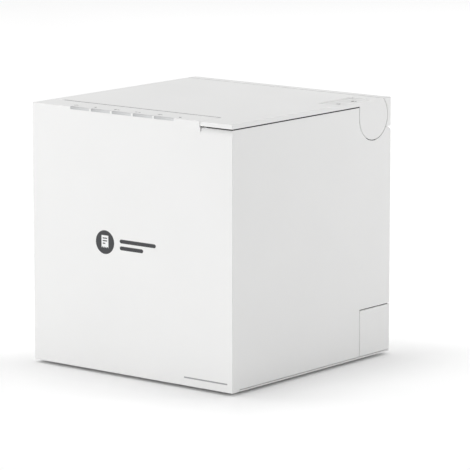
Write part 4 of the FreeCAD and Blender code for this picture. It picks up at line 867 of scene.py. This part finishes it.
def make_liner_ribs():
    """A grid of ribs on the underside of the lid's inner pan."""
    low, high = box_mm("lid_liner")
    under = high.z - LINER_WALL
    left, right = low.x + RIB_END, high.x - RIB_END
    ribs = []
    for number in range(CROSS_RIBS):
        y = CROSS_FIRST + number * CROSS_PITCH
        ribs.append(((left, y, under - CROSS_HEIGHT), (right, y + RIB_WIDTH, under + RIB_ROOT)))
    for number in range(LONG_RIBS):
        x = left + (right - left) * (number + 1) / (LONG_RIBS + 1)
        ribs.append(((x, LONG_FRONT, under - LONG_HEIGHT), (x + RIB_WIDTH, LONG_REAR, under + RIB_ROOT)))
    blocks_piece("liner_ribs", ribs, MATERIALS["liner_grey"], "lid", 0.15)


TRAY_SIDE, TRAY_END, TRAY_CORNER = 0.6, 0.7, 1.4  # clear of the board, and its corner radius
TRAY_PROFILE = [(-0.1, 0.0), (-0.45, 0.12), (-0.7, 0.55)]  # (height from the board's underside, inset)


def make_key_board_cover():
    """The small tray under the lid that covers the keys' board."""
    low, high = box_mm("button_board")
    left, right = low.x - TRAY_SIDE + TRAY_CORNER, high.x + TRAY_SIDE - TRAY_CORNER
    front, rear = low.y - TRAY_END + TRAY_CORNER, high.y + TRAY_END - TRAY_CORNER
    corners = [(right, front, -90), (right, rear, 0), (left, rear, 90), (left, front, 180)]
    levels = [(LID_UNDER, 0.0)] + [(low.z + height, inset) for height, inset in TRAY_PROFILE]
    work = bmesh.new()
    rings = []
    for level, inset in levels:
        outline = [point for x, y, start in corners
                   for point in arc(x, y, TRAY_CORNER - inset, start, start + 90, 4)]
        rings.append([corner_at(work, x, y, level) for x, y in outline])
    join_rings(work, rings)
    mesh_piece("key_board_cover", work, MATERIALS["liner_grey"], "lid", 35)


SCREWS = {"board_screws": 1, "base_screws": -1}  # heads up, heads down
# The crosses are flat dark inlays at the floor of each round recess: painted shade standing in for the cross
# slot.
CROSS_LENGTH, CROSS_WIDTH, CROSS_DEPTH, CROSS_INLAY = 1.6, 0.42, 0.55, 0.05


def islands(work):
    """The separate shells of a mesh, each as a list of points in millimetres."""
    seen = set()
    shells = []
    for vertex in work.verts:
        if vertex.index in seen:
            continue
        seen.add(vertex.index)
        shell, stack = [], [vertex]
        while stack:
            here = stack.pop()
            shell.append(here.co / MM)
            for edge in here.link_edges:
                other = edge.other_vert(here)
                if other.index not in seen:
                    seen.add(other.index)
                    stack.append(other)
        shells.append(shell)
    return shells


def screw_heads(node, way):
    """The middle and the outer level of each head in a node of separate upright screws."""
    work = bmesh.new()
    work.from_mesh(NODES[node].data)
    bmesh.ops.remove_doubles(work, verts=work.verts, dist=1e-6)
    heads = []
    for shell in islands(work):
        lows = [min(point[axis] for point in shell) for axis in range(3)]
        highs = [max(point[axis] for point in shell) for axis in range(3)]
        level = highs[2] if way > 0 else lows[2]
        heads.append(((lows[0] + highs[0]) / 2, (lows[1] + highs[1]) / 2, level))
    work.free()
    return heads


def make_screw_cross_shades():
    """A flat dark cross at the floor of the round recess of each of the board's and the base's screws:
    painted shade standing in for the cross slot.
    """
    crosses = []
    for node, way in SCREWS.items():
        for x, y, level in screw_heads(node, way):
            floor = level - way * CROSS_DEPTH
            low, high = sorted((floor, floor - way * CROSS_INLAY))
            for wide, deep in ((CROSS_LENGTH, CROSS_WIDTH), (CROSS_WIDTH, CROSS_LENGTH)):
                crosses.append(((x - wide / 2, y - deep / 2, low), (x + wide / 2, y + deep / 2, high)))
    blocks_piece("screw_cross_shades", crosses, INK_DARK_AND_SHADE, "case")


# ---------------------------------------------------------------- paper roll

ROLL_SIDES = 180
ROLL_PLAY = 0.05  # between the wound paper and the CAD roll
TAIL_STEP, TAIL_ANGLE = 0.25, math.radians(62)  # the loose edge of the outer turn
DISHED_FROM, DISHED_TO, DISHED = 6.0, 4.0, 0.25  # the ends step in near the rim


def make_paper_roll():
    """Wound paper whose outer turn ends in a loose edge, with lightly stepped ends."""
    low, high = box_mm("paper_roll")
    core_low, core_high = box_mm("paper_core")
    centre = (low + high) / 2
    core_radius = (core_high.z - core_low.z) / 2
    outer = (high.z - low.z) / 2 - ROLL_PLAY
    rings = [(core_radius, 0.0), (core_radius + 0.3, 0.0), (outer - DISHED_FROM, 0.0),
             (outer - DISHED_TO, DISHED), (outer, 0.0)]
    work = bmesh.new()
    loops = []
    for side in (-1, 1):
        for reach, inset in (rings if side < 0 else rings[::-1]):
            x = (low.x if side < 0 else high.x) - side * inset
            loop = []
            for index in range(ROLL_SIDES):
                share = index / ROLL_SIDES
                radius = reach - TAIL_STEP * share if reach == outer else reach
                across, up = polar(radius, TAIL_ANGLE + 2 * math.pi * share)
                loop.append(corner_at(work, x, centre.y + across, centre.z + up))
            loops.append(loop)
    outside = (len(rings) - 1, len(loops) - 1)  # the wound outside, and the bore
    for number, first in enumerate(loops):
        second = loops[(number + 1) % len(loops)]
        for index in range(ROLL_SIDES):
            after = (index + 1) % ROLL_SIDES
            face = work.faces.new((first[index], second[index], second[after], first[after]))
            face.material_index = 0 if number in outside else 1
    piece = mesh_piece("paper_roll_wound", work, MATERIALS["thermal_paper"], "roll", 20)
    piece.data.materials.append(PAPER_EDGE)
    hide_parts("paper_roll")


# ---------------------------------------------------------------- stage

def area_light(name, place, target, size, power):
    """A round soft light that shines from a place towards a target."""
    light = bpy.data.lights.new(name, "AREA")
    light.shape = "DISK"
    light.size = size
    light.energy = power
    lamp = bpy.data.objects.new(name, light)
    lamp.location = place
    lamp.visible_camera = False
    lamp.rotation_euler = (Vector(target) - Vector(place)).to_track_quat("-Z", "Y").to_euler()
    bpy.context.scene.collection.objects.link(lamp)


# The stage is in metres.
CAMERA_PLACE = (1.05227, -1.29543, 0.36054)
CAMERA_AIM = (-0.61559, 0.76823, -0.1756)
CAMERA_LENS = 258.9
MIDDLE = (0.0, 0.0, 0.06)
FLOOR_HALF = 8.0
FLOOR_SHADE = 0.97
FLOOR_GLOW = 0.09  # painted light: the floor's glow round the printer, rising from one distance to another, which leaves a painted soft shadow close round it
GLOW_FROM, GLOW_TO = 0.064, 0.12
FAR_GLOW = 0.26  # and this much more far away
FAR_FROM, FAR_TO = 0.25, 1.2
ROOM_LIGHT = 0.385
LIGHTS = {
    # name: (place, size, power)
    "left_window": ((-1.5, -0.5, 0.8), 1.6, 8.0),
    "front_low": ((-0.5, -1.8, 0.35), 1.0, 11.2),
    "overhead": ((-0.2, 0.1, 1.6), 1.2, 9.6),
    "rear": ((0.2, 1.7, 0.8), 1.0, 5.6),
    "rear_right": ((0.7, 0.6, 0.35), 0.4, 1.95),
}


def make_floor():
    """A white floor whose glow is painted light: none under the printer, rising over a few centimetres round
    it, which paints a soft shadow there, and more far away.
    """
    floor_mesh = bpy.data.meshes.new("floor")
    corners = [(x * FLOOR_HALF, y * FLOOR_HALF, 0) for x, y in ((-1, -1), (1, -1), (1, 1), (-1, 1))]
    floor_mesh.from_pydata(corners, [], [(0, 1, 2, 3)])
    floor = bpy.data.objects.new("floor", floor_mesh)
    bpy.context.scene.collection.objects.link(floor)
    paint, tree, shader = new_material("floor_paint", 0.9, Specular_IOR_Level=0.0)
    shader.inputs["Base Color"].default_value = grey(FLOOR_SHADE)
    shader.inputs["Emission Color"].default_value = grey(1.0)
    away = maths(tree, "MAXIMUM", *[maths(tree, "ABSOLUTE", coordinate(tree, axis)) for axis in "XY"])
    steps = [(GLOW_FROM, GLOW_TO, FLOOR_GLOW), (FAR_FROM, FAR_TO, FAR_GLOW)]
    glows = [add(tree, "MapRange", {"interpolation_type": "SMOOTHSTEP"}, Value=away, From_Min=start / MM,
                 From_Max=end / MM, To_Min=0.0, To_Max=strength).outputs[0]
             for start, end, strength in steps]
    connect(tree, maths(tree, "ADD", *glows), shader.inputs["Emission Strength"])
    floor_mesh.materials.append(paint)


def make_room():
    """Even light from all round, which the camera sees as white, and the lights."""
    world = bpy.data.worlds.new("studio")
    world.use_nodes = True
    tree = world.node_tree
    seen = add(tree, "LightPath").outputs["Is Camera Ray"]
    background = tree.nodes["Background"]
    background.inputs["Color"].default_value = grey(1.0)
    connect(tree, remap(tree, seen, 0.0, 1.0, ROOM_LIGHT, 1.0), background.inputs["Strength"])
    bpy.context.scene.world = world
    bpy.context.scene.view_settings.view_transform = "Standard"
    for name, (place, size, power) in LIGHTS.items():
        area_light(name, place, MIDDLE, size, power)


def make_camera():
    """A long lens, a little over the printer, that looks at its front right edge."""
    lens = bpy.data.cameras.new("camera")
    lens.lens = CAMERA_LENS
    lens.sensor_width = 36.0
    lens.clip_start = 0.05
    lens.clip_end = 50.0
    camera = bpy.data.objects.new("camera", lens)
    camera.location = CAMERA_PLACE
    camera.rotation_euler = Vector(CAMERA_AIM).to_track_quat("-Z", "Y").to_euler()
    bpy.context.scene.collection.objects.link(camera)
    bpy.context.scene.camera = camera


# ---------------------------------------------------------------- all together

make_floor()
make_room()
make_camera()
for node, edge_radius in EDGE_RADIUS.items():
    rounded(node, edge_radius)
make_paper_roll()
make_front_badge()
make_strip_marks()
make_key_marks()
make_seam_shades()
make_tear_bar()
make_chip_legs()
make_small_parts()
make_capacitor_sleeves()
make_socket_contacts()
make_inlet_pins()
make_liner_ribs()
make_key_board_cover()
make_screw_cross_shades()
for name, thing in NODES.items():
    thing.data.materials.clear()
    thing.data.materials.append(MATERIALS[SLOT_OF[name]])
